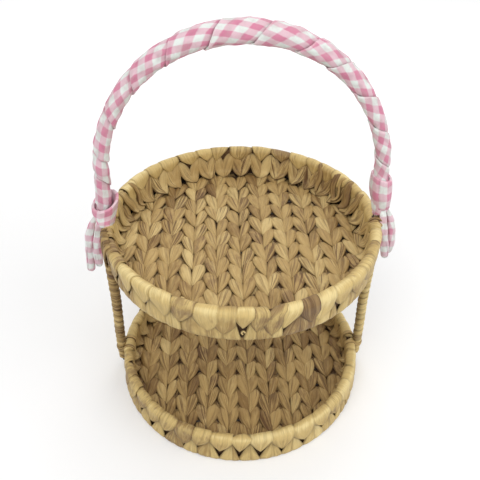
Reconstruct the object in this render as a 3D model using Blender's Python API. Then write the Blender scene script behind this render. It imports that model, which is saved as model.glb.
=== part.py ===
"""Two-tier wicker tray: two round leaf-woven trays, one above the other, on a bent iron rod.

The rod comes up outside both trays as two posts and arches over them as the handle. The posts are
wound with flat leaf strand, and the handle is padded with leaf and covered with a strip of cloth
that is knotted at both ends. Metres, +Z up, +Y to the back. The origin is on the floor, in the
middle of the trays.
"""
import math

import bmesh
import bpy
from mathutils import Vector, kdtree

# Clearances
GAP = 0.0003
OVERRUN = 0.005

# Rims and walls of both trays
RIM_RADIUS = 0.1447
RIM_WIRE_RADIUS = 0.0025
RIM_ARC_STEPS = 3
STRIP_THICKNESS = 0.0025
STRIP_COUNT = 28
SECTIONS_PER_STRIP = 2
STRIP_TIP_SHARE = 0.13
STRIP_NOTCH_SHARE = 0.53
SCALLOP_DEPTH = 0.0008
FOOT_WIDTH = 0.0055
NECK_RISE = 0.0015
BASE_WIRE_RADIUS = 0.0020

# The two trays. The lower one's foot flares out past its rim, and the upper one's draws in.
LOWER_TRAY_HEIGHT = 0.0380
LOWER_FOOT_FLARE = 0.0035
UPPER_TRAY_HEIGHT = 0.0400
UPPER_FOOT_DRAW = 0.0024
TIER_SPACE = 0.1630

# Floors. The outermost rods lie at a share of the floor's reach, and the rest between them.
FLOOR_LIFT = 0.0010
FLOOR_THICKNESS = 0.0080
COLUMN_COUNT = 23
COLUMN_CROWN = 0.0018
FLOOR_ROD_RADIUS = 0.0014
FLOOR_ROD_COUNT = 11
FLOOR_ROD_SPREAD_SHARE = 0.88
FLOOR_ROD_HEIGHT_SHARE = 0.45

# Iron rod of the posts and the handle. Each stretch starts where the one below it ends.
ROD_RADIUS = 0.0025
ROD_FOOT = 0.0040
POST_STANDOFF = 0.0045
HANDLE_INSET = 0.0099
LEG_LEAN = 0.0020
BEND_CLEARANCE = 0.0005
BEND_LENGTH = 0.0360
LEG_LENGTH = 0.0236
ARCH_RISE = 0.1516
BEND_STEPS = 6
ARCH_STEPS = 20

# Leaf strand wound round each post, up to a little below the upper rim
STRAND_TURNS = 23
STRAND_POINTS_PER_TURN = 10
STRAND_THICKNESS = 0.0029
STRAND_SPACE = 0.0007
STRAND_BOTTOM = 0.0120
STRAND_DROP = 0.0135
STRAND_CROWN_SHARE = 0.38
STRAND_SECTION_SHARES = (
    (0.5, -0.25), (0.5, 0.25), (0.1, 0.5),
    (-0.5, STRAND_CROWN_SHARE), (-0.5, -STRAND_CROWN_SHARE), (0.1, -0.5),
)

# Leaf padding and cloth strip on the handle
PADDING_THICKNESS = 0.0024
PADDING_SIDES = 8
CLOTH_START = 0.0170
LEG_CLOTH_THICKNESS = 0.0023
APEX_CLOTH_THICKNESS = 0.0056
CLOTH_SIDES = 12
LAP_TURNS = 12
LAP_STEP = 0.0008
LAP_SUBSTEPS = 2
SWELL_POWER = 3

# Lashings of the lower tray
LASHING_RADIUS = 0.0012
LASHING_DROP = 0.0012
LASHING_ARC_STEPS = 6
LASHING_TURN_STEPS = 8

# Cloth knots: a cuff of doubled cloth on each leg. A row of shares gives the height, the fullness,
# how far the cuff sits out and back from the leg in fullnesses, and its slopes outward and back.
CUFF_CLOTH_THICKNESS = 0.0016
CUFF_SIDES = 18
LEFT_CUFF_RISE = 0.0020
LEFT_CUFF_HEIGHT = 0.0305
LEFT_CUFF_FULLNESS = 0.0051
LEFT_CUFF_SHARES = (
    (0.00, -0.06, -0.59, -0.20, 0.00, 0.00),
    (0.28, 0.25, -0.49, -0.20, -0.08, 0.08),
    (0.57, 0.64, -0.24, 0.00, -0.20, 0.18),
    (1.00, 1.00, 0.00, 0.00, -0.34, 0.32),
)
RIGHT_CUFF_RISE = 0.0040
RIGHT_CUFF_HEIGHT = 0.0390
RIGHT_CUFF_FULLNESS = 0.0027
RIGHT_CUFF_SHARES = (
    (0.00, 0.15, 0.00, 0.00, 0.10, 0.00),
    (0.33, 1.00, 0.20, 0.00, 0.00, 0.00),
    (0.69, 1.00, 0.00, 0.00, -0.15, 0.05),
    (1.00, 0.55, 0.10, 0.00, -0.32, 0.10),
)

# Tails of the knots. Each starts against its cuff, and its run is in shares of its length: out,
# back and down.
TAIL_WIDTH = 0.0105
TAIL_THICKNESS = 0.0032
TAIL_ROOT_SHARE = 0.11
TAIL_SHIFT_SHARE = 0.60
LEFT_OUTER_TAIL_LENGTH = 0.0750
LEFT_OUTER_TAIL_SHARES = (
    (0.0, 0.0, 0.0), (0.037, -0.013, 0.267),
    (0.068, -0.013, 0.6), (0.084, 0.0, 1.0),
)
LEFT_INNER_TAIL_LENGTH = 0.0595
LEFT_INNER_TAIL_SHARES = (
    (0.0, 0.0, 0.0), (0.042, 0.007, 0.311),
    (0.072, 0.032, 0.63), (0.092, 0.049, 1.0),
)
RIGHT_OUTER_TAIL_LENGTH = 0.0600
RIGHT_OUTER_TAIL_SHARES = (
    (0.0, 0.0, 0.0), (0.067, -0.017, 0.283),
    (0.110, -0.033, 0.617), (0.126, -0.017, 1.0),
)
RIGHT_INNER_TAIL_LENGTH = 0.0690
RIGHT_INNER_TAIL_SHARES = (
    (0.0, 0.0, 0.0), (0.058, -0.012, 0.319),
    (0.094, -0.007, 0.652), (0.116, 0.007, 1.0),
)
TAIL_END_SHARES = (0.80, 1.00, 1.00, 1.00, 1.00, 1.00, 0.86, 0.48)
TAIL_BACK_SHARE = 0.36
TAIL_SECTION_SHARES = (
    (-0.50, -0.10), (-0.30, -0.50), (0.00, -0.26), (0.30, -0.50),
    (0.50, -0.10), (TAIL_BACK_SHARE, 0.50), (-TAIL_BACK_SHARE, 0.50),
)

# Wire and curve detail
WIRE_SIDES = 5
CURVE_RESOLUTION = 1
MERGE_DISTANCE = 0.00001
GAP_SAMPLES = 6
MM = 1000.0

# Sizes that follow from the ones above
RIM_HALF = RIM_WIRE_RADIUS + GAP + STRIP_THICKNESS
CAVITY_HALF = RIM_WIRE_RADIUS + GAP
NECK_HALF = CAVITY_HALF - GAP
RIM_OUTER = RIM_RADIUS + RIM_HALF
SECTION_COUNT = STRIP_COUNT * SECTIONS_PER_STRIP
REBATE_HEIGHT = FLOOR_LIFT + FLOOR_THICKNESS + GAP
FLOOR_ROD_HEIGHT = FLOOR_LIFT + FLOOR_THICKNESS * FLOOR_ROD_HEIGHT_SHARE
UPPER_TRAY_BASE = LOWER_TRAY_HEIGHT + TIER_SPACE
STRAND_TOP = UPPER_TRAY_BASE + UPPER_TRAY_HEIGHT - STRAND_DROP
POST_X = RIM_OUTER + POST_STANDOFF
HANDLE_HALF_WIDTH = POST_X - HANDLE_INSET
BEND_X = HANDLE_HALF_WIDTH + LEG_LEAN
BEND_START = STRAND_TOP + BEND_CLEARANCE
BEND_END = BEND_START + BEND_LENGTH
SPRING_HEIGHT = BEND_END + LEG_LENGTH
APEX_HEIGHT = SPRING_HEIGHT + ARCH_RISE
STRAND_PITCH = (STRAND_TOP - STRAND_BOTTOM) / (STRAND_TURNS + 1)
STRAND_CENTRE = ROD_RADIUS + 2 * GAP + STRAND_THICKNESS / 2
STRAND_SLOPE = math.atan(STRAND_PITCH / (2 * math.pi * STRAND_CENTRE))
STRAND_WIDTH = (STRAND_PITCH - STRAND_SPACE) * math.cos(STRAND_SLOPE)
STRAND_CROWN_REACH = STRAND_WIDTH * STRAND_CROWN_SHARE * math.sin(STRAND_SLOPE)
STRAND_OUTER = math.hypot(STRAND_CENTRE + STRAND_THICKNESS / 2, STRAND_CROWN_REACH)
PADDING_BORE = (ROD_RADIUS + GAP) / math.cos(math.pi / PADDING_SIDES)
PADDING_RADIUS = PADDING_BORE + PADDING_THICKNESS
CLOTH_BORE = PADDING_RADIUS + GAP
CLOTH_BOTTOM = BEND_START + CLOTH_START
LEG_CLOTH_RADIUS = CLOTH_BORE + LEG_CLOTH_THICKNESS
APEX_CLOTH_RADIUS = CLOTH_BORE + APEX_CLOTH_THICKNESS
CUFF_SEAT_RADIUS = LEG_CLOTH_RADIUS + LAP_STEP / 2 + GAP + CUFF_CLOTH_THICKNESS

SMOOTH_ANGLE = math.radians(40)
FULL_TURN = 2 * math.pi


def start_clean():
    """Remove every object and make the two collections."""
    for obj in list(bpy.data.objects):
        bpy.data.objects.remove(obj, do_unlink=True)
    part = bpy.data.collections.new("two_tier_wicker_tray")
    cutters = bpy.data.collections.new("cutters")
    bpy.context.scene.collection.children.link(part)
    bpy.context.scene.collection.children.link(cutters)
    return part, cutters


def make_material(name, color, roughness, metallic=0.0):
    material = bpy.data.materials.new(name)
    material.use_nodes = True
    shader = material.node_tree.nodes["Principled BSDF"]
    shader.inputs["Base Color"].default_value = (*color, 1.0)
    shader.inputs["Roughness"].default_value = roughness
    shader.inputs["Metallic"].default_value = metallic
    return material


PART, CUTTERS = start_clean()
LEAF = make_material("dried_leaf", (0.42, 0.31, 0.15), 0.75)
PALE_LEAF = make_material("pale_leaf", (0.55, 0.43, 0.21), 0.70)
IRON = make_material("black_iron", (0.03, 0.03, 0.03), 0.55, 1.0)
CLOTH = make_material("pink_checked_cloth", (0.80, 0.45, 0.52), 0.90)


def add_object(name, mesh, material, collection=None):
    """Put a mesh in the model under its own name, shaded smooth with sharp edges kept."""
    mesh.name = name
    mesh.materials.clear()
    mesh.materials.append(material)
    mesh.shade_smooth()
    mesh.set_sharp_from_angle(angle=SMOOTH_ANGLE)
    obj = bpy.data.objects.new(name, mesh)
    (collection or PART).objects.link(obj)
    return obj


def mark_cutter(obj):
    obj.hide_render = True
    obj.display_type = "WIRE"
    for collection in list(obj.users_collection):
        collection.objects.unlink(obj)
    CUTTERS.objects.link(obj)
    return obj


def cut(obj, cutter, operation="DIFFERENCE"):
    modifier = obj.modifiers.new(operation.lower() + "_" + cutter.name, "BOOLEAN")
    modifier.operation = operation
    modifier.object = cutter
    modifier.solver = "EXACT"


def ring_loft(name, rings, material, closed):
    """Loft one body through rings of points. A closed one runs round and meets its own start."""
    bm = bmesh.new()
    loops = [[bm.verts.new(point) for point in ring] for ring in rings]
    pairs = list(zip(loops, loops[1:]))
    if closed:
        pairs.append((loops[-1], loops[0]))
    for first, second in pairs:
        for i, vertex in enumerate(first):
            j = (i + 1) % len(first)
            bm.faces.new((vertex, first[j], second[j], second[i]))
    if not closed:
        bm.faces.new(loops[0])
        bm.faces.new(loops[-1])
    bmesh.ops.recalc_face_normals(bm, faces=bm.faces)
    mesh = bpy.data.meshes.new(name)
    bm.to_mesh(mesh)
    bm.free()
    return add_object(name, mesh, material)


def sleeve_loft(name, outer_rings, inner_rings, material):
    """Loft a hollow sleeve: an outer skin, a bore with its own steps, and a flat ring at each end."""
    bm = bmesh.new()
    ends = ([], [])
    for rings in (outer_rings, inner_rings):
        loops = [[bm.verts.new(point) for point in ring] for ring in rings]
        for first, second in zip(loops, loops[1:]):
            for i, vertex in enumerate(first):
                j = (i + 1) % len(first)
                bm.faces.new((vertex, first[j], second[j], second[i]))
        for end, loop in zip(ends, (loops[0], loops[-1])):
            end.extend(bm.edges.get((a, b)) for a, b in zip(loop, loop[1:] + loop[:1]))
    for edges in ends:
        bmesh.ops.triangle_fill(bm, use_beauty=True, edges=edges)
    bmesh.ops.recalc_face_normals(bm, faces=bm.faces)
    mesh = bpy.data.meshes.new(name)
    bm.to_mesh(mesh)
    bm.free()
    return add_object(name, mesh, material)


def curve_mesh(name, points, material, radius=None, section=None):
    """Sweep a round wire, or a flat strand with its own section, along points and make it a mesh."""
    curve = bpy.data.curves.new(name, "CURVE")
    curve.dimensions = "3D"
    curve.twist_mode = "Z_UP"
    curve.use_fill_caps = True
    if section:
        curve.bevel_mode = "OBJECT"
        curve.bevel_object = section
    else:
        curve.bevel_depth = radius
        curve.bevel_resolution = CURVE_RESOLUTION
    spline = curve.splines.new("POLY")
    spline.points.add(len(points) - 1)
    for point, place in zip(spline.points, points):
        point.co = (*place, 1.0)
    guide = bpy.data.objects.new(name + "_guide", curve)
    PART.objects.link(guide)
    bpy.context.view_layer.update()
    evaluated = guide.evaluated_get(bpy.context.evaluated_depsgraph_get())
    mesh = bpy.data.meshes.new_from_object(evaluated)
    bpy.data.objects.remove(guide, do_unlink=True)
    bm = bmesh.new()
    bm.from_mesh(mesh)
    bmesh.ops.remove_doubles(bm, verts=bm.verts, dist=MERGE_DISTANCE)
    bmesh.ops.recalc_face_normals(bm, faces=bm.faces)
    bm.to_mesh(mesh)
    bm.free()
    return add_object(name, mesh, material)


def wire_hoop(name, radius, wire_radius, height):
    bpy.ops.mesh.primitive_torus_add(
        major_segments=SECTION_COUNT, minor_segments=WIRE_SIDES,
        major_radius=radius, minor_radius=wire_radius, location=(0, 0, height))
    obj = bpy.context.active_object
    obj.name = name
    for collection in list(obj.users_collection):
        collection.objects.unlink(obj)
    PART.objects.link(obj)
    obj.data.name = name
    obj.data.materials.append(IRON)
    obj.data.shade_smooth()
    return obj


def post_cylinder(name, side, radius, bottom, top):
    """Upright cutter on a post's axis."""
    bpy.ops.mesh.primitive_cylinder_add(
        vertices=PADDING_SIDES * 2, radius=radius / math.cos(math.pi / (PADDING_SIDES * 2)),
        depth=top - bottom, location=(side * POST_X, 0, (top + bottom) / 2))
    obj = bpy.context.active_object
    obj.name = name
    return mark_cutter(obj)


def section_angle(index):
    return FULL_TURN * index / SECTION_COUNT


def at_angle(radius, angle, height):
    return Vector((radius * math.cos(angle), radius * math.sin(angle), height))


class Tray:
    """The sizes of one tray that follow from its height, its foot and where it sits."""

    def __init__(self, label, base, height, foot_radius):
        self.label = label
        self.base = base
        self.height = height
        self.foot_radius = foot_radius
        self.rim_height = height - RIM_HALF
        self.lean = foot_radius - RIM_RADIUS - RIM_HALF
        self.hoop_radius = foot_radius - FOOT_WIDTH - GAP - BASE_WIRE_RADIUS
        self.floor_radius = self.hoop_radius - BASE_WIRE_RADIUS - GAP
        self.tip = REBATE_HEIGHT + (height - REBATE_HEIGHT) * STRIP_TIP_SHARE
        self.notch = REBATE_HEIGHT + (height - REBATE_HEIGHT) * STRIP_NOTCH_SHARE

    def wall_centre(self, height):
        """Middle of the wall at a height: the wall leans between its foot and the rim."""
        return RIM_RADIUS + self.lean * max(0.0, 1 - height / self.rim_height)

    def point(self, offset, height, angle):
        return at_angle(self.wall_centre(height) + offset, angle, self.base + height)

    def strip_end(self, index):
        """Height where the rim's strips end: low at each strip's point, high between two strips."""
        return self.tip if index % SECTIONS_PER_STRIP == 0 else self.notch


def rim_border(tray):
    """Leaf strips folded over the rim, ending in points inside and outside."""
    rings = []
    for index in range(SECTION_COUNT):
        angle = section_angle(index)
        end = tray.strip_end(index)
        rim = tray.rim_height
        profile = [(RIM_HALF, end)]
        for step in range(RIM_ARC_STEPS + 1):
            turn = math.pi * step / RIM_ARC_STEPS
            profile.append((RIM_HALF * math.cos(turn), rim + RIM_HALF * math.sin(turn)))
        profile += [
            (-RIM_HALF, end), (-CAVITY_HALF, end),
            (-CAVITY_HALF, rim + CAVITY_HALF), (CAVITY_HALF, rim + CAVITY_HALF),
            (CAVITY_HALF, end),
        ]
        rings.append([tray.point(offset, height, angle) for offset, height in profile])
    return ring_loft(tray.label + "_rim_border", rings, PALE_LEAF, closed=True)


def wall_weave(tray):
    """Woven wall: a foot on the floor, points between the rim's strips, and a neck behind them."""
    rings = []
    neck = tray.notch + NECK_RISE
    for index in range(SECTION_COUNT):
        angle = section_angle(index)
        top = tray.strip_end(index) - GAP
        scallop = SCALLOP_DEPTH * (index % SECTIONS_PER_STRIP)
        foot_out = RIM_HALF - scallop
        foot_in = RIM_HALF - FOOT_WIDTH
        profile = [
            (foot_out, 0.0), (RIM_HALF, top), (NECK_HALF, top), (NECK_HALF, neck),
            (-NECK_HALF, neck), (-NECK_HALF, top), (-RIM_HALF, top),
        ]
        ring = [tray.point(offset, height, angle) for offset, height in profile]
        overhang = tray.wall_centre(REBATE_HEIGHT) - RIM_HALF
        ring.append(at_angle(overhang, angle, tray.base + REBATE_HEIGHT))
        rebate = tray.wall_centre(0.0) + foot_in
        ring.append(at_angle(rebate, angle, tray.base + REBATE_HEIGHT))
        ring.append(at_angle(rebate, angle, tray.base))
        rings.append(ring)
    return ring_loft(tray.label + "_wall_weave", rings, LEAF, closed=True)


def floor_weave(tray):
    """Woven floor: a round mat, ridged along Y, with a tunnel for each rod that it is woven on."""
    radius = tray.floor_radius
    width = 2 * radius / COLUMN_COUNT
    bottom = tray.base + FLOOR_LIFT
    crown = bottom + FLOOR_THICKNESS
    valley = crown - COLUMN_CROWN
    half = radius + OVERRUN
    outline = [(-half, bottom), (-half, valley)]
    for column in range(COLUMN_COUNT):
        left = -radius + column * width
        outline += [(left, valley), (left + width / 3, crown), (left + 2 * width / 3, crown)]
    outline += [(radius, valley), (half, valley), (half, bottom)]
    curve = bpy.data.curves.new(tray.label + "_ridges", "CURVE")
    curve.dimensions = "2D"
    curve.fill_mode = "BOTH"
    curve.extrude = half
    spline = curve.splines.new("POLY")
    spline.points.add(len(outline) - 1)
    for point, (x, z) in zip(spline.points, outline):
        point.co = (x, z, 0, 1)
    spline.use_cyclic_u = True
    guide = bpy.data.objects.new(tray.label + "_ridges", curve)
    guide.rotation_euler = (math.radians(90), 0, 0)
    PART.objects.link(guide)
    bpy.context.view_layer.update()
    evaluated = guide.evaluated_get(bpy.context.evaluated_depsgraph_get())
    mesh = bpy.data.meshes.new_from_object(evaluated)
    mesh.transform(guide.matrix_world)
    bpy.data.objects.remove(guide, do_unlink=True)
    bm = bmesh.new()
    bm.from_mesh(mesh)
    bmesh.ops.remove_doubles(bm, verts=bm.verts, dist=MERGE_DISTANCE)
    bmesh.ops.recalc_face_normals(bm, faces=bm.faces)
    bm.to_mesh(mesh)
    bm.free()
    floor = add_object(tray.label + "_floor_weave", mesh, LEAF)
    bpy.ops.mesh.primitive_cylinder_add(
        vertices=SECTION_COUNT, radius=radius, depth=FLOOR_THICKNESS + 2 * OVERRUN,
        location=(0, 0, bottom + FLOOR_THICKNESS / 2), rotation=(0, 0, section_angle(0.5)))
    disc = bpy.context.active_object
    disc.name = tray.label + "_floor_disc"
    cut(floor, mark_cutter(disc), "INTERSECT")
    for number in range(FLOOR_ROD_COUNT):
        tunnel = floor_rod(tray.label + "_floor_tunnel_", tray, number, FLOOR_ROD_RADIUS + GAP, OVERRUN)
        cut(floor, mark_cutter(tunnel))
    return floor


def floor_rod(prefix, tray, number, radius, extra):
    """A straight rod along X across the floor, ending just inside the base hoop."""
    reach = tray.hoop_radius - BASE_WIRE_RADIUS - 2 * GAP
    y = reach * FLOOR_ROD_SPREAD_SHARE * (2 * number / (FLOOR_ROD_COUNT - 1) - 1)
    half = math.sqrt(reach ** 2 - (abs(y) + FLOOR_ROD_RADIUS) ** 2) + extra
    name = prefix + str(number + 1).zfill(2)
    bm = bmesh.new()
    bmesh.ops.create_cone(
        bm, cap_ends=True, segments=WIRE_SIDES, radius1=radius, radius2=radius, depth=2 * half)
    mesh = bpy.data.meshes.new(name)
    bm.to_mesh(mesh)
    bm.free()
    rod = add_object(name, mesh, IRON)
    rod.rotation_euler = (0, math.radians(90), 0)
    rod.location = (0, y, tray.base + FLOOR_ROD_HEIGHT)
    return rod


def make_tray(tray):
    border = rim_border(tray)
    wall = wall_weave(tray)
    floor_weave(tray)
    wire_hoop(tray.label + "_rim_hoop", RIM_RADIUS, RIM_WIRE_RADIUS, tray.base + tray.rim_height)
    wire_hoop(tray.label + "_base_hoop", tray.hoop_radius, BASE_WIRE_RADIUS,
              tray.base + FLOOR_LIFT + FLOOR_THICKNESS / 2)
    for number in range(FLOOR_ROD_COUNT):
        floor_rod(tray.label + "_floor_rod_", tray, number, FLOOR_ROD_RADIUS, 0.0)
    return border, wall


def leg_x(height):
    """How far out the rod is at a height below the arch."""
    if height <= BEND_START:
        return POST_X
    if height >= BEND_END:
        share = (height - BEND_END) / (SPRING_HEIGHT - BEND_END)
        return BEND_X + (HANDLE_HALF_WIDTH - BEND_X) * share
    share = (height - BEND_START) / (BEND_END - BEND_START)
    return POST_X + (BEND_X - POST_X) * share * share * (3 - 2 * share)


def handle_path(bottom):
    """Middle of the rod from one foot at bottom, over the arch, to the other foot."""
    bends = [BEND_START + (BEND_END - BEND_START) * step / BEND_STEPS for step in range(BEND_STEPS + 1)]
    heights = [bottom] + [height for height in bends if height > bottom + ROD_RADIUS]
    leg = [Vector((leg_x(height), 0, height)) for height in heights]
    arch = []
    for step in range(ARCH_STEPS + 1):
        turn = math.pi * step / ARCH_STEPS
        height = SPRING_HEIGHT + ARCH_RISE * math.sin(turn)
        arch.append(Vector((HANDLE_HALF_WIDTH * math.cos(turn), 0, height)))
    return leg + arch + [Vector((-point.x, 0, point.z)) for point in reversed(leg)]


def path_frames(path):
    """The direction out of the arch's plane is +Y all along, so only the in-plane normal turns."""
    frames = []
    for index, point in enumerate(path):
        before = path[max(index - 1, 0)]
        after = path[min(index + 1, len(path) - 1)]
        along = (after - before).normalized()
        if index in (0, len(path) - 1):
            along = Vector((0, 0, 1 if index == 0 else -1))
        frames.append((point, along.cross(Vector((0, 1, 0))).normalized()))
    return frames


def round_ring(centre, normal, radius_at, sides):
    ring = []
    for side in range(sides):
        turn = FULL_TURN * side / sides
        radius = radius_at(turn)
        ring.append(centre + normal * (radius * math.cos(turn)) + Vector((0, radius * math.sin(turn), 0)))
    return ring


def handle_padding():
    frames = path_frames(handle_path(CLOTH_BOTTOM))
    outer = [round_ring(p, n, lambda turn: PADDING_RADIUS, PADDING_SIDES) for p, n in frames]
    inner = [round_ring(p, n, lambda turn: PADDING_BORE, PADDING_SIDES) for p, n in frames]
    return sleeve_loft("handle_leaf_padding", outer, inner, LEAF)


def cloth_radius(height, progress, turn):
    """Radius of the cloth: thicker towards the top, with a step where each turn laps the last."""
    swell = max(0.0, (height - SPRING_HEIGHT) / ARCH_RISE) ** SWELL_POWER
    base = LEG_CLOTH_RADIUS + (APEX_CLOTH_RADIUS - LEG_CLOTH_RADIUS) * swell
    lap = (turn / FULL_TURN + progress * LAP_TURNS) % 1.0
    return base + LAP_STEP * (0.5 - lap)


def handle_cloth():
    frames = path_frames(handle_path(CLOTH_BOTTOM))
    fine = []
    for (point, normal), (next_point, next_normal) in zip(frames, frames[1:]):
        for step in range(LAP_SUBSTEPS):
            share = step / LAP_SUBSTEPS
            fine.append((point.lerp(next_point, share), normal.lerp(next_normal, share).normalized()))
    fine.append(frames[-1])
    outer = []
    for index, (point, normal) in enumerate(fine):
        progress = index / (len(fine) - 1)
        outer.append(round_ring(
            point, normal, lambda turn: cloth_radius(point.z, progress, turn), CLOTH_SIDES))
    inner = [round_ring(p, n, lambda turn: CLOTH_BORE, PADDING_SIDES) for p, n in frames]
    return sleeve_loft("handle_cloth_wrap", outer, inner, CLOTH)


def frame_rod():
    return curve_mesh("frame_rod", handle_path(ROD_FOOT), IRON, ROD_RADIUS)


def strand_section():
    """Flat section of the strand, crowned outside, as a curve that the winding is swept with."""
    curve = bpy.data.curves.new("strand_section", "CURVE")
    curve.dimensions = "2D"
    spline = curve.splines.new("POLY")
    spline.points.add(len(STRAND_SECTION_SHARES) - 1)
    for point, (inward, along) in zip(spline.points, STRAND_SECTION_SHARES):
        point.co = (STRAND_THICKNESS * inward, STRAND_WIDTH * along, 0, 1)
    spline.use_cyclic_u = True
    section = bpy.data.objects.new("strand_section", curve)
    return mark_cutter(section)


def post_winding(name, side, section):
    """One strand wound up the post in open turns."""
    count = STRAND_TURNS * STRAND_POINTS_PER_TURN
    points = []
    for index in range(count + 1):
        turn = FULL_TURN * index / STRAND_POINTS_PER_TURN
        height = STRAND_BOTTOM + STRAND_PITCH * (0.5 + index / STRAND_POINTS_PER_TURN)
        points.append(Vector((
            side * POST_X - STRAND_CENTRE * math.cos(turn), STRAND_CENTRE * math.sin(turn), height)))
    return curve_mesh(name, points, LEAF, section=section)


def strand_turn(place, side):
    """Which turn of the winding a point is on, with the share of the turn gone by."""
    share = math.atan2(place.y, side * POST_X - place.x) / FULL_TURN % 1.0
    climb = (place.z - STRAND_BOTTOM) / STRAND_PITCH - 0.5
    return round(climb - share) + share


def least_gap(winding, side):
    """Smallest distance between the strand and its own next turn, on points along its edges."""
    samples = []
    for edge in winding.data.edges:
        first, second = (winding.data.vertices[index].co for index in edge.vertices)
        for step in range(GAP_SAMPLES):
            place = first.lerp(second, step / GAP_SAMPLES)
            samples.append((strand_turn(place, side), place))
    tree = kdtree.KDTree(len(samples))
    for number, (turn, place) in enumerate(samples):
        tree.insert(place, number)
    tree.balance()
    least = 2 * STRAND_SPACE
    for turn, place in samples:
        for found, number, distance in tree.find_range(place, least):
            if abs(samples[number][0] - turn) > 0.5:
                least = min(least, distance)
    return least


class Cuff:
    """A band of doubled cloth round one leg, open inside."""

    def __init__(self, label, side, bottom, height, fullness, shares):
        self.label = label
        self.side = side
        self.stations = []
        for up_share, full_share, out_share, back_share, slope_out, slope_back in shares:
            up = bottom + height * up_share
            centre = Vector((leg_x(up) + fullness * out_share, fullness * back_share, up))
            radius = CUFF_SEAT_RADIUS + fullness * full_share
            self.stations.append((centre, radius, slope_out, slope_back))

    def near_bottom(self, share):
        """Centre and radius of the cuff a little way up from its bottom station to the next."""
        (low, low_radius, *rest), (high, high_radius, *rest) = self.stations[:2]
        return low.lerp(high, share), low_radius + (high_radius - low_radius) * share

    def make(self):
        rings = ([], [])
        for centre, radius, slope_out, slope_back in self.stations:
            for ring_list, reach in zip(rings, (radius, radius - CUFF_CLOTH_THICKNESS)):
                ring = []
                for number in range(CUFF_SIDES):
                    turn = FULL_TURN * number / CUFF_SIDES
                    out, back = reach * math.cos(turn), reach * math.sin(turn)
                    place = centre + Vector((out, back, slope_out * out + slope_back * back))
                    ring.append(Vector((self.side * place.x, place.y, place.z)))
                ring_list.append(ring)
        return sleeve_loft(self.label + "_knot_cuff", rings[0], rings[1], CLOTH)


def rim_cutter(tray):
    """The space that the rim takes up, with clearance, for what is tied round it."""
    rings = []
    half = RIM_HALF + GAP
    for index in range(SECTION_COUNT):
        angle = section_angle(index)
        profile = [(half, 0.0)]
        for step in range(RIM_ARC_STEPS + 1):
            turn = math.pi * step / RIM_ARC_STEPS
            profile.append((half * math.cos(turn), tray.rim_height + half * math.sin(turn)))
        profile.append((-half, 0.0))
        rings.append([tray.point(offset, height, angle) for offset, height in profile])
    obj = ring_loft(tray.label + "_rim_space", rings, CLOTH, closed=True)
    return mark_cutter(obj)


def smooth_points(places, count):
    """Points on a smooth curve through the given places."""
    ends = [2 * places[0] - places[1]] + list(places) + [2 * places[-1] - places[-2]]
    points = []
    for number in range(count):
        position = (len(places) - 1) * number / (count - 1)
        index = min(int(position), len(places) - 2)
        t = position - index
        a, b, c, d = ends[index:index + 4]
        points.append(0.5 * (2 * b + (c - a) * t + (2 * a - 5 * b + 4 * c - d) * t * t
                             + (3 * b - a - 3 * c + d) * t * t * t))
    return points


def tail(name, cuff, root, length, shares):
    """A folded end of the cloth strip, hanging with one lengthwise fold and a rounded end."""
    places = [root + Vector((out, back, -down)) * length for out, back, down in shares]
    rings = []
    for point, share in zip(smooth_points(places, len(TAIL_END_SHARES)), TAIL_END_SHARES):
        ring = []
        for across, through in TAIL_SECTION_SHARES:
            place = point + Vector((TAIL_WIDTH * share * across, TAIL_THICKNESS * through, 0))
            ring.append(Vector((cuff.side * place.x, place.y, place.z)))
        rings.append(ring)
    return ring_loft(cuff.label + "_" + name, rings, CLOTH, closed=False)


def tails(cuff, outer_length, outer_shares, inner_length, inner_shares):
    """Two tails: one against the outside of the cuff, and one against its front."""
    centre, radius = cuff.near_bottom(TAIL_ROOT_SHARE)
    width = TAIL_WIDTH * TAIL_END_SHARES[0]
    outside = centre + Vector((radius + GAP + width / 2, 0, 0))
    shift = radius * TAIL_SHIFT_SHARE
    near_edge = shift - width * TAIL_BACK_SHARE
    clear = math.sqrt((radius + GAP) ** 2 - near_edge ** 2)
    front = centre + Vector((shift, -(clear + TAIL_THICKNESS / 2), 0))
    tail("outer_tail", cuff, outside, outer_length, outer_shares)
    tail("inner_tail", cuff, front, inner_length, inner_shares)


def lashing(name, side, tray):
    """A strand that comes over the rim, goes round the post and back over the rim."""
    over = RIM_HALF + GAP + LASHING_RADIUS
    around = STRAND_OUTER + GAP + LASHING_RADIUS
    reach = around + GAP
    centre = math.sqrt(RIM_RADIUS ** 2 - reach ** 2)
    rim = tray.base + tray.rim_height
    points = [Vector((centre - over, -reach, rim - RIM_HALF))]
    for step in range(LASHING_ARC_STEPS + 1):
        turn = math.pi * (1 - step / LASHING_ARC_STEPS)
        points.append(Vector((centre + over * math.cos(turn), -reach, rim + over * math.sin(turn))))
    for step in range(LASHING_TURN_STEPS // 2):
        turn = math.pi / 2 * (1 - (step + 0.5) / (LASHING_TURN_STEPS / 2))
        points.append(Vector((
            POST_X + around * math.cos(turn), -around * math.sin(turn), rim - LASHING_DROP)))
    path = points + [Vector((point.x, -point.y, point.z)) for point in reversed(points)]
    path = [Vector((side * point.x, point.y, point.z)) for point in path]
    return curve_mesh(name, path, LEAF, LASHING_RADIUS)


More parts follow.
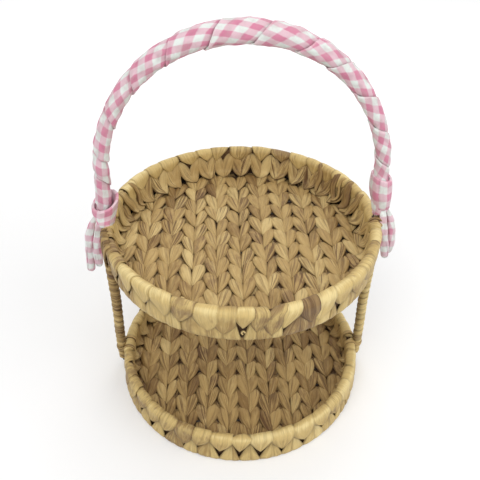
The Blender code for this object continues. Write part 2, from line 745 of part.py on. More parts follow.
def build():
    lower = Tray("lower", 0.0, LOWER_TRAY_HEIGHT, RIM_OUTER + LOWER_FOOT_FLARE)
    upper = Tray("upper", UPPER_TRAY_BASE, UPPER_TRAY_HEIGHT, RIM_OUTER - UPPER_FOOT_DRAW)
    woven = {tray.label: make_tray(tray) for tray in (lower, upper)}
    frame_rod()
    handle_padding()
    handle_cloth()
    section = strand_section()
    for label, side in (("left", -1), ("right", 1)):
        winding = post_winding(label + "_post_winding", side, section)
        print(winding.name, "least gap to itself", round(least_gap(winding, side) * MM, 3), "mm")
        strand_space = post_cylinder(
            label + "_strand_space", side, STRAND_OUTER + GAP, STRAND_BOTTOM - GAP, STRAND_TOP + GAP)
        rod_space = post_cylinder(
            label + "_rod_space", side, ROD_RADIUS + GAP, -OVERRUN, STRAND_BOTTOM + OVERRUN)
        for border, wall in woven.values():
            cut(border, strand_space)
            cut(wall, strand_space)
        cut(woven["lower"][1], rod_space)
        lashing(label + "_lower_lashing", side, lower)
    left = Cuff("left", -1, STRAND_TOP + LEFT_CUFF_RISE, LEFT_CUFF_HEIGHT, LEFT_CUFF_FULLNESS,
                LEFT_CUFF_SHARES)
    right = Cuff("right", 1, CLOTH_BOTTOM + RIGHT_CUFF_RISE, RIGHT_CUFF_HEIGHT, RIGHT_CUFF_FULLNESS,
                 RIGHT_CUFF_SHARES)
    cut(left.make(), rim_cutter(upper))
    right.make()
    tails(left, LEFT_OUTER_TAIL_LENGTH, LEFT_OUTER_TAIL_SHARES,
          LEFT_INNER_TAIL_LENGTH, LEFT_INNER_TAIL_SHARES)
    tails(right, RIGHT_OUTER_TAIL_LENGTH, RIGHT_OUTER_TAIL_SHARES,
          RIGHT_INNER_TAIL_LENGTH, RIGHT_INNER_TAIL_SHARES)


build()
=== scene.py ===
"""Looks of the two-tier wicker tray: woven leaf, wound posts and a handle in checked cloth.

Metres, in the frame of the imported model: +Z up, +Y to the back, the posts to the left and right.
The sizes repeated here are those that the source of the part settles.
"""

import math

import bpy
import numpy as np
from mathutils import Matrix, Vector, noise


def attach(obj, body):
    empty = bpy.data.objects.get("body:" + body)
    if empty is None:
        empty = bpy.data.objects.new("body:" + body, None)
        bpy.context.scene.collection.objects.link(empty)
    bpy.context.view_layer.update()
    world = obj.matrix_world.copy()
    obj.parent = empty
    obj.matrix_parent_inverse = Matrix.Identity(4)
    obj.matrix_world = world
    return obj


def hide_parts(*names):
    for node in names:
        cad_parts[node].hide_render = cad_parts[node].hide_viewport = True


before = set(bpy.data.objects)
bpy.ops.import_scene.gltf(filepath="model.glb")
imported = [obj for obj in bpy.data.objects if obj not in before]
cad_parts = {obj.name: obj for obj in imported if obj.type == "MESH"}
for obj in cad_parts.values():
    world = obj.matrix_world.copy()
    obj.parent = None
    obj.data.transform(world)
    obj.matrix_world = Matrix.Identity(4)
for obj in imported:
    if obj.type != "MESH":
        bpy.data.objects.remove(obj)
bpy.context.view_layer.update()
rng = np.random.default_rng(41)

TURN = 2 * math.pi
PHOTO_SIZE = 480

# Sizes of the part: the rims, the posts, the bend above them, and the handle.
RIM_RADIUS, RIM_HALF = 0.1447, 0.0053
POST_X, POST_BOTTOM, POST_TOP, WOUND_TOP = 0.1545, 0.012, 0.2275, 0.2465
BEND_X, BEND_START, BEND_END = 0.1466, 0.228, 0.264
SPRING, ARCH_RISE, HANDLE_HALF = 0.2876, 0.1516, 0.1446
CLOTH_BOTTOM, LEG_CLOTH, APEX_CLOTH, CUFF_SEAT = 0.245, 0.00803, 0.01133, 0.01033


# Small helpers.

def unit(value):
    return np.clip(value, 0, 1)


def ease(value):
    """From 0 to 1 with a soft start and a soft end."""
    value = unit(value)
    return value * value * (3 - 2 * value)


def fade(value, width):
    """1 where the value is 0, fading out over the width."""
    return np.exp(-value / width)


def hump(value, middle, width):
    return np.exp(-((value - middle) / width) ** 2)


def stacked(*parts):
    """Grids that fit each other, as the parts of one grid of vectors."""
    return np.stack(np.broadcast_arrays(*parts), -1)


def run_length(points):
    """Distance along a line of points."""
    return np.concatenate([[0], np.cumsum(np.linalg.norm(np.diff(points, axis=0), axis=1))])


def directions(points):
    step = np.gradient(points, axis=0)
    return step / np.linalg.norm(step, axis=1)[:, None]


def interpolated(at, places, values):
    """Rows of values at new places."""
    return stacked(*(np.interp(at, places, column) for column in values.T))


def evenly(path, count):
    """Points evenly spaced along a path, and how far along it each one is."""
    path = np.asarray(path, float)
    gone = run_length(path)
    at = np.linspace(0, gone[-1], count)
    return interpolated(at, gone, path), at


def smooth_rows(places, count):
    """Rows on a smooth curve through the given ones."""
    places = np.asarray(places, float)
    ends = np.concatenate([[2 * places[0] - places[1]], places, [2 * places[-1] - places[-2]]])
    at = np.linspace(0, len(places) - 1, count)
    index = np.minimum(at.astype(int), len(places) - 2)
    t = (at - index)[:, None]
    a, b, c, d = (ends[index + step] for step in range(4))
    bend = (c - a) * t + (2 * a - 5 * b + 4 * c - d) * t ** 2 + (3 * b - a - 3 * c + d) * t ** 3
    return b + bend / 2


def noise_at(x, y, z):
    """Smooth noise over grids of coordinates that fit each other."""
    places = stacked(x, y, z)
    values = [noise.noise(Vector(place)) for place in places.reshape(-1, 3)]
    return np.reshape(values, places.shape[:-1])


def point_numbers(rows, columns):
    return np.arange(rows * columns).reshape(rows, columns)


def ring_angles(count):
    return TURN * np.arange(count)[None, :] / count


def tube_faces(number, closed=False):
    """Faces between the rings of a tube, and from the last ring to the first if it is closed."""
    after, up = np.roll(number, -1, axis=1), np.roll(number, -1, axis=0)
    faces = np.stack([number, after, np.roll(up, -1, axis=1), up], -1)
    return (faces if closed else faces[:-1]).reshape(-1, 4)


def jitter(size):
    return rng.normal(0, size)


def new_object(name, data):
    obj = bpy.data.objects.new(name, data)
    bpy.context.scene.collection.objects.link(obj)
    return obj


# Camera and light.

def make_camera():
    """The view fitted to the photo's rims, bases, posts and handle."""
    target, distance, focal_pixels = Vector((0, 0, 0.193)), 0.66353, 580.5884
    high, yaw, roll = (math.radians(v) for v in (39.5935, -2.6886, 0.8987))
    back = Vector((math.sin(yaw) * math.cos(high), -math.cos(yaw) * math.cos(high), math.sin(high)))
    right = Vector((0, 0, 1)).cross(back).normalized()
    up = back.cross(right)
    across = right * math.cos(roll) + up * math.sin(roll)
    upward = up * math.cos(roll) - right * math.sin(roll)
    data = bpy.data.cameras.new("camera")
    data.sensor_width, data.lens = 36, focal_pixels / PHOTO_SIZE * 36
    data.shift_x, data.shift_y = -1.6 / PHOTO_SIZE, 8.2 / PHOTO_SIZE
    obj = new_object("camera", data)
    turned = Matrix((across, upward, back)).transposed().to_4x4()
    obj.matrix_world = Matrix.Translation(target + back * distance) @ turned
    bpy.context.scene.camera = obj


def make_light(name, place, size, watts):
    data = bpy.data.lights.new(name, "AREA")
    data.shape, data.size, data.energy = "DISK", size, watts
    obj = new_object(name, data)
    obj.location = place
    aim = Vector((0, 0, 0.15))
    obj.rotation_euler = (aim - Vector(place)).to_track_quat("-Z", "Y").to_euler()


# Materials.

class Nodes:
    """Builds the nodes of a material or a world with short calls."""

    def __init__(self, block):
        self.block = block
        block.use_nodes = True
        self.tree = block.node_tree
        self.tree.nodes.clear()

    def put(self, socket, value):
        if isinstance(value, bpy.types.NodeSocket):
            self.tree.links.new(value, socket)
        elif value is not None:
            socket.default_value = value

    def node(self, kind, *inputs, named=(), **settings):
        made = self.tree.nodes.new("ShaderNode" + kind)
        for key, value in settings.items():
            setattr(made, key, value)
        for socket, value in zip(made.inputs, inputs):
            self.put(socket, value)
        for key, value in dict(named).items():
            self.put(made.inputs[key], value)
        return made

    def math(self, operation, a, b=None, clamp=False):
        return self.node("Math", a, b, operation=operation, use_clamp=clamp).outputs[0]

    def plus(self, a, b, clamp=False):
        return self.math("ADD", a, b, clamp)

    def times(self, a, b, clamp=False):
        return self.math("MULTIPLY", a, b, clamp)

    def attribute(self, name):
        made = self.node("Attribute", attribute_name=name)
        return self.node("SeparateXYZ", made.outputs["Vector"]).outputs

    def position(self):
        return self.node("TexCoord").outputs["Object"]

    def noise(self, place, detail, scale=1.0):
        named = {"Vector": place, "Scale": scale, "Detail": detail, "Roughness": 0.55}
        return self.node("TexNoise", named=named).outputs["Fac"]

    def span(self, value, low, high, to_low=0.0, to_high=1.0, kind="SMOOTHSTEP"):
        return self.node("MapRange", value, low, high, to_low, to_high, interpolation_type=kind).outputs[0]

    def mix(self, share, a, b, blend="MIX"):
        made = self.node("Mix", data_type="RGBA", blend_type=blend)
        for place, value in ((0, share), (6, a), (7, b)):
            self.put(made.inputs[place], value)
        return made.outputs[2]

    def dim(self, color, value):
        """The colour multiplied by a value."""
        grey = self.node("CombineColor", value, value, value).outputs[0]
        return self.mix(1.0, color, grey, "MULTIPLY")

    def bump(self, height, distance, strength, normal=None):
        named = {"Strength": strength, "Distance": distance, "Height": height, "Normal": normal}
        return self.node("Bump", named=named).outputs[0]

    def finish(self, color, roughness, normal, **constants):
        named = {"Base Color": color, "Roughness": roughness, "Normal": normal}
        shader = self.node("BsdfPrincipled", named=named)
        for key, value in constants.items():
            shader.inputs[key.replace("_", " ")].default_value = value
        self.node("OutputMaterial", shader.outputs[0])
        return self.block


def material_nodes(name):
    return Nodes(bpy.data.materials.new(name))


def rgb(red, green, blue):
    """A colour as seen, given as 0 to 255, in the linear values that a shader takes."""
    def linear(v):
        v /= 255
        return v / 12.92 if v <= 0.04045 else ((v + 0.055) / 1.055) ** 2.4
    return (linear(red), linear(green), linear(blue), 1.0)


def leaf_material(name, dark, middle, pale, fibrous, rough):
    """Dry leaf. "strand" holds each point's place across and along its strand and the strand's
    number, and "look" holds its tone, its shade and how brown it is. fibrous is how strong its
    dark streaks are."""
    n = material_nodes(name)
    across, along, seed = n.attribute("strand")
    tone, shade, brown = n.attribute("look")

    def grain(wide, long, shift, detail):
        place = n.node("CombineXYZ", n.times(across, wide), n.times(along, long), n.plus(seed, shift))
        return n.noise(place.outputs[0], detail)

    fibre = grain(1500.0, 34.0, 0.0, 3.0)
    fine = grain(4200.0, 120.0, 0.0, 2.0)
    streak = grain(620.0, 21.0, 5.3, 2.0)
    broad = grain(260.0, 62.0, 0.0, 2.0)
    patch = grain(150.0, 75.0, 31.7, 3.0)
    level = n.plus(tone, n.times(n.plus(broad, -0.5), 0.85), clamp=True)
    color = n.mix(n.span(level, 0.0, 0.5), dark, middle)
    color = n.mix(n.span(level, 0.5, 1.0), color, pale)
    spots = n.span(n.plus(patch, n.times(brown, 0.5)), 0.66, 0.86)
    color = n.mix(n.times(spots, 0.58), color, rgb(126, 96, 66))
    lot = n.node("TexWhiteNoise", named={"W": seed}, noise_dimensions="1D").outputs["Value"]
    streaky = n.math("MAXIMUM", n.math("POWER", lot, 1.6), n.times(brown, 0.8))
    lines = n.span(n.plus(streak, n.times(streaky, -0.13)), 0.28, 0.42, 1.0, 0.0)
    depth = n.plus(0.3 * fibrous, n.times(streaky, 0.38 * fibrous))
    depth = n.plus(depth, n.times(brown, 0.55), clamp=True)
    color = n.mix(n.times(lines, depth), color, rgb(96, 68, 40))
    color = n.mix(n.span(fibre, 0.28, 0.45, 0.3, 0.0), color, rgb(112, 82, 48))
    color = n.mix(n.times(n.span(streak, 0.6, 0.74), 0.42), color, pale)
    color = n.dim(color, n.span(fine, 0.25, 0.75, 0.9, 1.07, "LINEAR"))
    color = n.mix(n.times(shade, 0.8, clamp=True), color, rgb(70, 49, 28))
    height = n.plus(n.times(fibre, 0.5), n.times(fine, 0.2))
    height = n.plus(height, n.times(streak, 0.9 * fibrous))
    roughness = n.span(fibre, 0.2, 0.8, rough - 0.06, rough + 0.12, "LINEAR")
    return n.finish(color, roughness, n.bump(height, 0.0009, 0.85), Specular_IOR_Level=0.35)


def cloth_material():
    """Checked cotton. The attribute weave holds each point's place on the cloth in pattern periods, and
    fold holds the painted shade of its folds and a painted highlight along the edges of folds and hems."""
    n = material_nodes("checked_cotton")
    weave = n.attribute("weave")[:2]
    shade, fold_highlight, _ = n.attribute("fold")
    position = n.position()
    shift = n.times(n.plus(n.noise(position, 2.0, 180.0), -0.5), 0.16)
    stripes, threads = [], []
    for value in weave:
        wave = n.math("COSINE", n.times(n.plus(value, shift), TURN))
        stripes.append(n.span(wave, -0.3, 0.3))
        threads.append(n.math("SINE", n.times(value, TURN * 38.0)))
    both, thread = n.plus(*stripes), n.times(*threads)
    color = n.mix(n.span(both, 0.0, 1.0, kind="LINEAR"), rgb(232, 238, 233), rgb(229, 194, 204))
    color = n.mix(n.span(both, 1.0, 2.0, kind="LINEAR"), color, rgb(217, 136, 163))
    soft = n.noise(position, 3.0, 90.0)
    color = n.mix(n.span(soft, 0.32, 0.6, 0.34, 0.0), color, rgb(190, 170, 168))
    color = n.dim(color, n.span(thread, -1.0, 1.0, 0.955, 1.02, "LINEAR"))
    color = n.mix(n.times(shade, 0.72, clamp=True), color, rgb(146, 98, 110))
    # Painted highlight: paler along the edges of folds and hems.
    color = n.mix(n.times(fold_highlight, 0.75, clamp=True), color, rgb(250, 244, 242))
    normal = n.bump(thread, 0.00025, 0.35)
    normal = n.bump(n.noise(position, 3.0, 240.0), 0.0012, 0.45, normal)
    return n.finish(color, 0.88, normal, Specular_IOR_Level=0.22, Sheen_Weight=0.25, Sheen_Roughness=0.5)


def iron_material():
    n = material_nodes("lacquered_iron")
    position = n.position()
    rust = n.noise(position, 4.0, 120.0)
    color = n.mix(n.span(rust, 0.45, 0.7), rgb(46, 42, 40), rgb(92, 62, 44))
    normal = n.bump(n.noise(position, 3.0, 900.0), 0.0003, 0.5)
    return n.finish(color, n.span(rust, 0.3, 0.7, 0.38, 0.62, "LINEAR"), normal, Metallic=0.6)


LEAF = leaf_material("floor_leaf", rgb(136, 106, 62), rgb(182, 152, 97), rgb(210, 184, 126), 1.25, 0.56)
PALE = leaf_material("rim_leaf", rgb(166, 136, 82), rgb(208, 181, 118), rgb(230, 208, 148), 0.3, 0.5)
# A very dark leaf for the insides of the weave: painted shade.
SHADOW_LEAF = leaf_material("shadow_leaf", rgb(58, 41, 26), rgb(84, 60, 37), rgb(106, 78, 49), 0.5, 0.8)
CLOTH = cloth_material()
IRON = iron_material()


# Meshes.

def make_object(name, points, faces, material, slot, nodes, **attributes):
    mesh = bpy.data.meshes.new(name)
    mesh.vertices.add(np.size(points) // 3)
    mesh.vertices.foreach_set("co", np.asarray(points, np.float32).ravel())
    mesh.loops.add(faces.size)
    mesh.loops.foreach_set("vertex_index", faces.ravel().astype(np.int32))
    mesh.polygons.add(len(faces))
    mesh.polygons.foreach_set("loop_start", np.arange(0, faces.size, 4, dtype=np.int32))
    mesh.update(calc_edges=True)
    mesh.validate()
    mesh.polygons.foreach_set("use_smooth", np.full(len(mesh.polygons), True))
    for key, values in attributes.items():
        made = mesh.attributes.new(key, "FLOAT_VECTOR", "POINT")
        made.data.foreach_set("vector", np.asarray(values, np.float32).ravel())
    mesh.materials.append(material)
    obj = new_object(name, mesh)
    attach(obj, "root")
    if nodes:
        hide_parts(*nodes)
    return obj


class Strands:
    """Strands gathered into one mesh. Every point keeps its place on its strand."""

    def __init__(self):
        self.points, self.faces, self.strand, self.look = [], [], [], []
        self.count = 0

    def sheet(self, over, under, across, along, seed, tone, shade, brown):
        """One closed strand between two grids of points of the same shape, whichever way they run."""
        rows, columns = over.shape[:2]
        number = point_numbers(rows, columns)
        top = np.stack([number[:-1, :-1], number[1:, :-1], number[1:, 1:], number[:-1, 1:]], -1)
        top = top.reshape(-1, 4)
        low = top[:, ::-1] + rows * columns
        rim = np.concatenate([number[0, :-1], number[:-1, -1], number[-1, :0:-1], number[:0:-1, 0]])
        after = np.roll(rim, -1)
        side = np.stack([rim, after, after + rows * columns, rim + rows * columns], -1)
        points = np.concatenate([over.reshape(-1, 3), under.reshape(-1, 3)])
        faces = np.concatenate([top, low, side])
        a, b, c, d = (points[faces[:, place]] for place in range(4))
        if (np.cross(a, b) * c).sum() + (np.cross(a, c) * d).sum() < 0:
            faces = faces[:, ::-1]
        whole = np.zeros((rows, columns))
        strand = stacked(across, along, seed + whole).reshape(-1, 3)
        look = stacked(tone, shade, brown + whole).reshape(-1, 3)
        # The underside's copy gets painted shade: its shade is at least 0.45.
        dim = look.copy()
        dim[:, 1] = np.maximum(dim[:, 1], 0.45)
        self.points.append(points)
        self.faces.append(faces + self.count)
        self.strand += [strand, strand]
        self.look += [look, dim]
        self.count += len(points)

    def make(self, name, material=LEAF, nodes=(), slot="dried_leaf"):
        points, faces, strand, look = map(np.concatenate, (self.points, self.faces, self.strand, self.look))
        make_object(name, points, faces, material, slot, nodes, strand=strand, look=look)


def leaf_look():
    """Seed, tone and brownness of one strand."""
    tone = np.clip(rng.normal(0.5, 0.18), 0.02, 0.98)
    brown = rng.uniform(0.15, 0.65) if rng.random() < 0.12 else 0.0
    return rng.uniform(0, 900), tone, brown


def strap(body, path, ups, width, thick, tone, brown, shade=0.0):
    """A flat strand swept along a path: ups points out of its broad face."""
    path, ups = np.asarray(path, float), np.asarray(ups, float)
    step = directions(path)
    ups = ups - step * (ups * step).sum(1)[:, None]
    ups = (ups / np.linalg.norm(ups, axis=1)[:, None])[:, None]
    t = np.linspace(1, -1, 7)[None, :]
    width = np.broadcast_to(width, len(path))[:, None]
    middle = path[:, None] + np.cross(step[:, None], ups) * (t * width / 2)[..., None]
    lift = thick * (0.5 + 0.4 * (1 - t * t))
    edge = unit(0.5 * fade(1 - np.abs(t), 0.12) + shade)
    body.sheet(middle + ups * lift[..., None], middle - ups * thick / 2, t * width / 2,
               run_length(path)[:, None], rng.uniform(0, 900), tone, edge, brown)


# Trays.

class Tray:
    """A tray: how high it stands and its rim is, how far its foot is set out, the radius of its floor
    and where a seam of the V's runs. tone is added to that of the floor and the inside of the wall."""

    def __init__(self, label, base, height, lean, floor_radius, seam, tone):
        self.label, self.base, self.rim, self.lean = label, base, height - RIM_HALF, lean
        self.floor_radius, self.seam, self.tone = floor_radius, seam, tone

    def wall(self, offset, height, angle):
        """Points of the wall. The upper rim dips a little where the knots sit on it."""
        if self.base > 0:
            dip = 0.0035 * np.exp(-(np.sin(angle) * RIM_RADIUS / 0.018) ** 4)
            height = height - dip * unit((height - 0.02) / 0.015)
        radius = RIM_RADIUS + self.lean * np.clip(1 - height / self.rim, 0, None) + offset
        return stacked(radius * np.cos(angle), radius * np.sin(angle), self.base + height)

    def raised(self, path, rise, angle):
        """Points along a path of offsets and heights on the wall, raised to the path's left."""
        step = directions(path)
        return self.wall(path[:, :1] - step[:, 1:] * rise, path[:, 1:] + step[:, :1] * rise, angle)


def leaf_grid(rows, columns):
    """Places along a leaf, from 0 to 1, and across it, from -1 to 1."""
    return np.linspace(0, 1, rows)[:, None], np.linspace(-1, 1, columns)[None, :]


def petal_shape(s, start, opening, closing):
    """Width of a petal along its length, as a share of the broadest."""
    shape = (s + start) ** opening * (1.003 - s) ** closing
    return shape / shape.max()


V_PITCH, ROW_PITCH = 0.0257, 0.0244
FLOOR_LEAF, FLOOR_HALF = 0.04, 0.0071
FLOOR_TOP, FLOOR_LOWEST, FLOOR_UNDER, FOOT_ROOM = 0.007, 0.0024, 0.0029, 0.0004


def floor_leaf(body, tray, upward, side, seam, top):
    """One leaf of a V, left out if its middle is off the floor: seam is the place of the V's seam
    and top that of the leaf's round end."""
    s, t = leaf_grid(*((17, 10) if upward else (9, 6)))
    length, half = FLOOR_LEAF * (1 + jitter(0.045)), FLOOR_HALF * (1 + jitter(0.07))
    petal = petal_shape(s, 0.004, 0.44, np.clip(rng.normal(0.8, 0.1), 0.6, 1.05))
    start, bow = 0.0095 + jitter(0.0006), 0.0048 + jitter(0.0008)
    seed, tone, brown = leaf_look()
    crown, roll, fold = 0.002 + jitter(0.0003), jitter(0.09), rng.uniform(-0.6, 0.6)
    folded = rng.random() < 0.65
    if math.hypot(seam + side * 0.006, top - length * 0.42) > tray.floor_radius + 0.002:
        return
    slant = start - 0.0003 - bow
    slope = -side * (slant + 2 * bow * s)
    size, width = np.hypot(slope, length), half * petal
    x = seam + side * (start - slant * s - bow * s * s) + t * width * length / size
    y = top - length * s + t * width * slope / size
    z = crown * (1 - np.abs(t) ** 2.2) * (0.25 + 0.75 * petal) + roll * t * width
    z -= 0.004 * unit(1 - s / 0.42) ** 1.5 + 0.0006 * unit((s - 0.85) / 0.15)
    ridge = hump(t, fold * (1 - 0.6 * s), 0.11) * np.sin(math.pi * s) * folded
    edge, radius = tray.floor_radius - 0.0008, np.hypot(x, y)
    past = np.clip(radius - edge, 0, None)
    scale = np.where(past > 0, (edge + 0.12 * past) / np.maximum(radius, 1e-6), 1.0)
    z += 0.00012 * np.sin(s * 23 + t * 4 + seed) - 0.0009 * ridge - 0.45 * np.minimum(past, 0.006)
    shade = 0.9 * fade(s, 0.05) + 0.3 * fade(1 - s, 0.05) + 0.58 * np.abs(t) ** 7 + 0.4 * ridge + 60 * past
    thick = 0.0009 + 0.0008 * (1 - t * t) * petal
    if upward:
        height = np.maximum(FLOOR_TOP + z + jitter(0.00015), FLOOR_LOWEST)
        thick = -thick
    else:
        height = np.maximum(FLOOR_UNDER - np.clip(z, -0.003, None) * 0.9, FOOT_ROOM)
    over, low = (stacked(x * scale, y * scale, tray.base + level) for level in (height, height + thick))
    body.sheet(over, low, t * half, s * length, seed, tone + tray.tone, unit(shade), brown)


def floor_weave(tray, upward):
    """Columns of V's. Each leaf is a petal whose tip lies over the round top of the next one."""
    body = Strands()
    for column in range(-6, 8):
        drift = jitter(0.004)
        for row in range(-7, 9):
            pair = jitter(0.0008)
            for side in (-1, 1):
                seam = tray.seam + column * V_PITCH + jitter(0.0004)
                top = row * ROW_PITCH + 0.018 + drift + pair + jitter(0.0013)
                floor_leaf(body, tray, upward, side, seam, top)
    if upward:
        body.make(tray.label + "_floor_leaves", nodes=[tray.label + "_floor_weave"])
    else:
        body.make(tray.label + "_floor_underside")


STRIP_PITCH, STRIP_RADIUS, STRIP_THICK = 9.3, 0.147, 0.0007


def strip_places(front):
    """All strips of a rim: those at the front as given, the rest evenly spread, with their tips'
    heights in metres."""
    places = [(crest, tip, height / 1000, gap, brown) for crest, tip, height, gap, brown in front]
    first, last = places[0][0] + 360, places[-1][0]
    count = round((first - last) / STRIP_PITCH)
    for number in range(1, count):
        crest = last + (first - last) * number / count + jitter(0.7)
        brown = rng.uniform(0.2, 0.8) if rng.random() < 0.04 + 0.5 * hump(crest, 42, 24) else 0.0
        gap = rng.choice([0.0, 0.3, 0.7, 1.0], p=[0.35, 0.3, 0.2, 0.15])
        places.append((crest, crest + jitter(1.5), 0.015 + jitter(0.0026), gap, brown))
    return places


def strip_tone(tone, share, brown):
    """Tone of a strip, darker if it is brown."""
    return 0.3 - 0.22 * brown if brown > 0 else 0.05 + share * tone


def rim_strips(tray, places):
    """Leaf strips folded over the hoop, pointed at both ends, each lapping the next."""
    body = Strands()
    t = leaf_grid(1, 11)[1]
    half = RIM_HALF + 0.0004
    arc = [(half * math.cos(a), tray.rim + half * math.sin(a)) for a in np.linspace(math.pi, 0, 14)]
    for index, (crest_place, tip_place, tip_height, _, brown) in enumerate(places):
        room = (places[(index + 1) % len(places)][0] - places[index - 1][0]) % 360 / 2
        half_width = math.radians(room) / 2 * STRIP_RADIUS + 0.0017
        path, at = evenly([(-half, 0.0238 + jitter(0.0022)), *arc, (half, tip_height)], 32)
        total, at = at[-1], at[:, None]
        into = unit(at / (0.0125 + jitter(0.0014)))
        out = unit((total - at) / (0.0165 + jitter(0.0018)))
        taper = (1 - (1 - into) ** rng.uniform(1.15, 1.7)) * (1 - (1 - out) ** rng.uniform(1.2, 2.0))
        width = half_width * (0.03 + 0.97 * taper)
        if abs(crest_place % 360 - 180) > 4 and rng.random() < 0.22:
            width = width * (1 - 0.35 * unit(1 - at / (0.42 * total)) ** 0.5)
            brown = max(brown, 0.35 * rng.uniform(0, 1))
        sway = math.radians(tip_place - crest_place) * unit(2 * at / total - 1) ** 1.15
        sway += math.radians(jitter(1.7)) * unit(1 - 2 * at / total)
        angle = math.radians(crest_place) + sway + t * width / STRIP_RADIUS
        rise = 0.00052 * t + 0.0003 * rng.uniform(-1, 1) + 0.00055 * (1 - t * t)
        rise = rise + 0.00016 * np.sin(at * 420 + index) + 0.00012 * np.sin(t * 5 + index * 2.1)
        rise -= 0.0003 * unit(1 - (total - at) / 0.003) ** 2 + 0.0006 * unit(1 - at / 0.005) ** 2
        seed, tone, spotted = leaf_look()
        # Painted highlight: the crest and the ridge are paler, with less painted shade. The part inside the
        # wall is painted paler with less painted shade too. Brown strips also get dark stripes of their own
        # in the shade value.
        crest, ridge = hump(at / total, 0.52, 0.15), hump(at / total, 0.46, 0.055)
        inside = unit(1 - at / total * 2.4)
        # edges is painted shade along both edges, wide on the side that lies under the next strip.
        edges = 0.8 * fade(1 + t, 0.16) + 0.42 * fade(1 - t, 0.035)
        shade = edges * (1 - 0.72 * crest) * (1 - 0.25 * inside)
        shade += 0.35 * fade(total - at, 0.001) + 0.45 * fade(at, 0.0012)
        shade += 0.125 * brown * (1 + np.sin(t * 13 + at * 90))
        tone = strip_tone(tone, 0.6, brown) + (0.3 * crest + 0.26 * ridge) * (1 - brown) + 0.1 * inside
        over, low = (tray.raised(path, level, angle) for level in (rise, rise - STRIP_THICK))
        body.sheet(over, low, t * half_width, at, seed, tone, unit(shade), max(brown, 0.4 * spotted))
    body.make(tray.label + "_rim_strips", PALE, [tray.label + "_rim_border"], "pale_leaf")


FAN_TOP = 0.0315
FAN_PATH = ((-0.0015, 0.0012), (0.0022, 0.0004), (0.004, 0.0012), (0.0045, 0.0042),
            (0.004, FAN_TOP * 0.45), (0.0026, FAN_TOP))
FAN_POINT, FAN_LAP, FAN_SIDE = (math.degrees(size / 0.15) for size in (0.0005, 0.0009, 0.0016))


def fan_leaf(body, tray, apex, sides, brown, lean):
    """One leaf of the outer wall, from its point between two strips to its broad scalloped foot.
    sides has the place of the foot and the height where it is reached, left and right."""
    t = leaf_grid(1, 9)[1]
    path, at = evenly(FAN_PATH, 14)
    offset, height = path[:, :1], path[:, 1:]
    up = unit(height / FAN_TOP)
    grown = [unit((FAN_TOP - height) / (FAN_TOP - meet)) ** 0.95 for _, meet in sides]
    left = apex - FAN_POINT + (sides[0][0] - apex) * grown[0]
    right = apex + FAN_POINT + (sides[1][0] - apex) * grown[1]
    angle = np.radians((left + right) / 2 + t * (right - left) / 2)
    scallop = (0.0014 * np.abs(t) ** 2.4 + 0.0002 * np.sin(t * 7 + apex)) * unit(1 - up / 0.3)
    rise = 0.0011 * (1 - np.abs(t) ** 2.2) + 0.0007 * lean * t + 0.0001 * np.sin(t * 9 + apex)
    over = tray.wall(offset + rise * np.clip(up * 6, 0.3, 1), height + scallop, angle)
    low = tray.wall(offset + rise * 0.6 - 0.0008, height + scallop + 0.0003, angle)
    seed, tone, spotted = leaf_look()
    shade = 0.8 * fade(1 + lean * t, 0.16) + 0.45 * fade(1 - lean * t, 0.05)
    shade = unit(shade + 0.65 * unit((up - 0.42) / 0.58) ** 1.3 + 0.2 * fade(up, 0.05))
    tone, brown = strip_tone(tone, 0.75, brown), max(brown, 0.5 * spotted)
    body.sheet(over, low, t * 0.008, at[:, None], seed, tone, shade, brown)


def inner_leaf(body, tray, apex, seam, side, dull):
    """One leaf of the inner wall: from its point between two strips down to the V's seam on the floor."""
    s, t = leaf_grid(18, 10)
    run = 0.0095 + 0.0045 * max(math.sin(math.radians(apex)), 0) + jitter(0.001)
    path, at = evenly([(-0.0038, 0.034 + jitter(0.0008)), (-0.0042, 0.029), (-0.0049, 0.0235),
                       (-0.0057, 0.017), (-0.0074, 0.012), (-0.0105, 0.0099), (-0.005 - run, 0.0093)], 18)
    width = (0.0079 + jitter(0.0006)) * petal_shape(s, 0.02, 0.5, 0.62)
    start = apex + side * math.degrees(0.001 / 0.14)
    angle = np.radians(start + (seam - side * 0.15 - start) * s ** 0.92)
    angle = angle + t * width / (RIM_RADIUS + path[:, :1])
    rise = 0.0018 * (1 - np.abs(t) ** 2.2) * np.sin(math.pi * unit(0.15 + 0.8 * s))
    rise += 0.0003 * side * t * jitter(1.0) + jitter(0.00012)
    seed, tone, brown = leaf_look()
    ridge = 0.0
    if rng.random() < 0.6:
        ridge = hump(t, rng.uniform(-0.5, 0.5), 0.12) * np.sin(math.pi * s)
    shade = 0.55 * np.abs(t) ** 7 + 0.45 * fade(s, 0.05) + 0.4 * fade(1 - s, 0.05) + 0.45 * ridge
    # Paler up towards the crest and darker down towards the floor: painted shade in the corner.
    tone = tone - 0.25 * dull + tray.tone + 0.12 + 0.22 * (1 - s)
    over, low = (tray.raised(path, level, angle) for level in (-rise, 0.001 - rise))
    body.sheet(over, low, t * 0.0078, at[:, None], seed, tone, unit(shade), max(brown, dull))


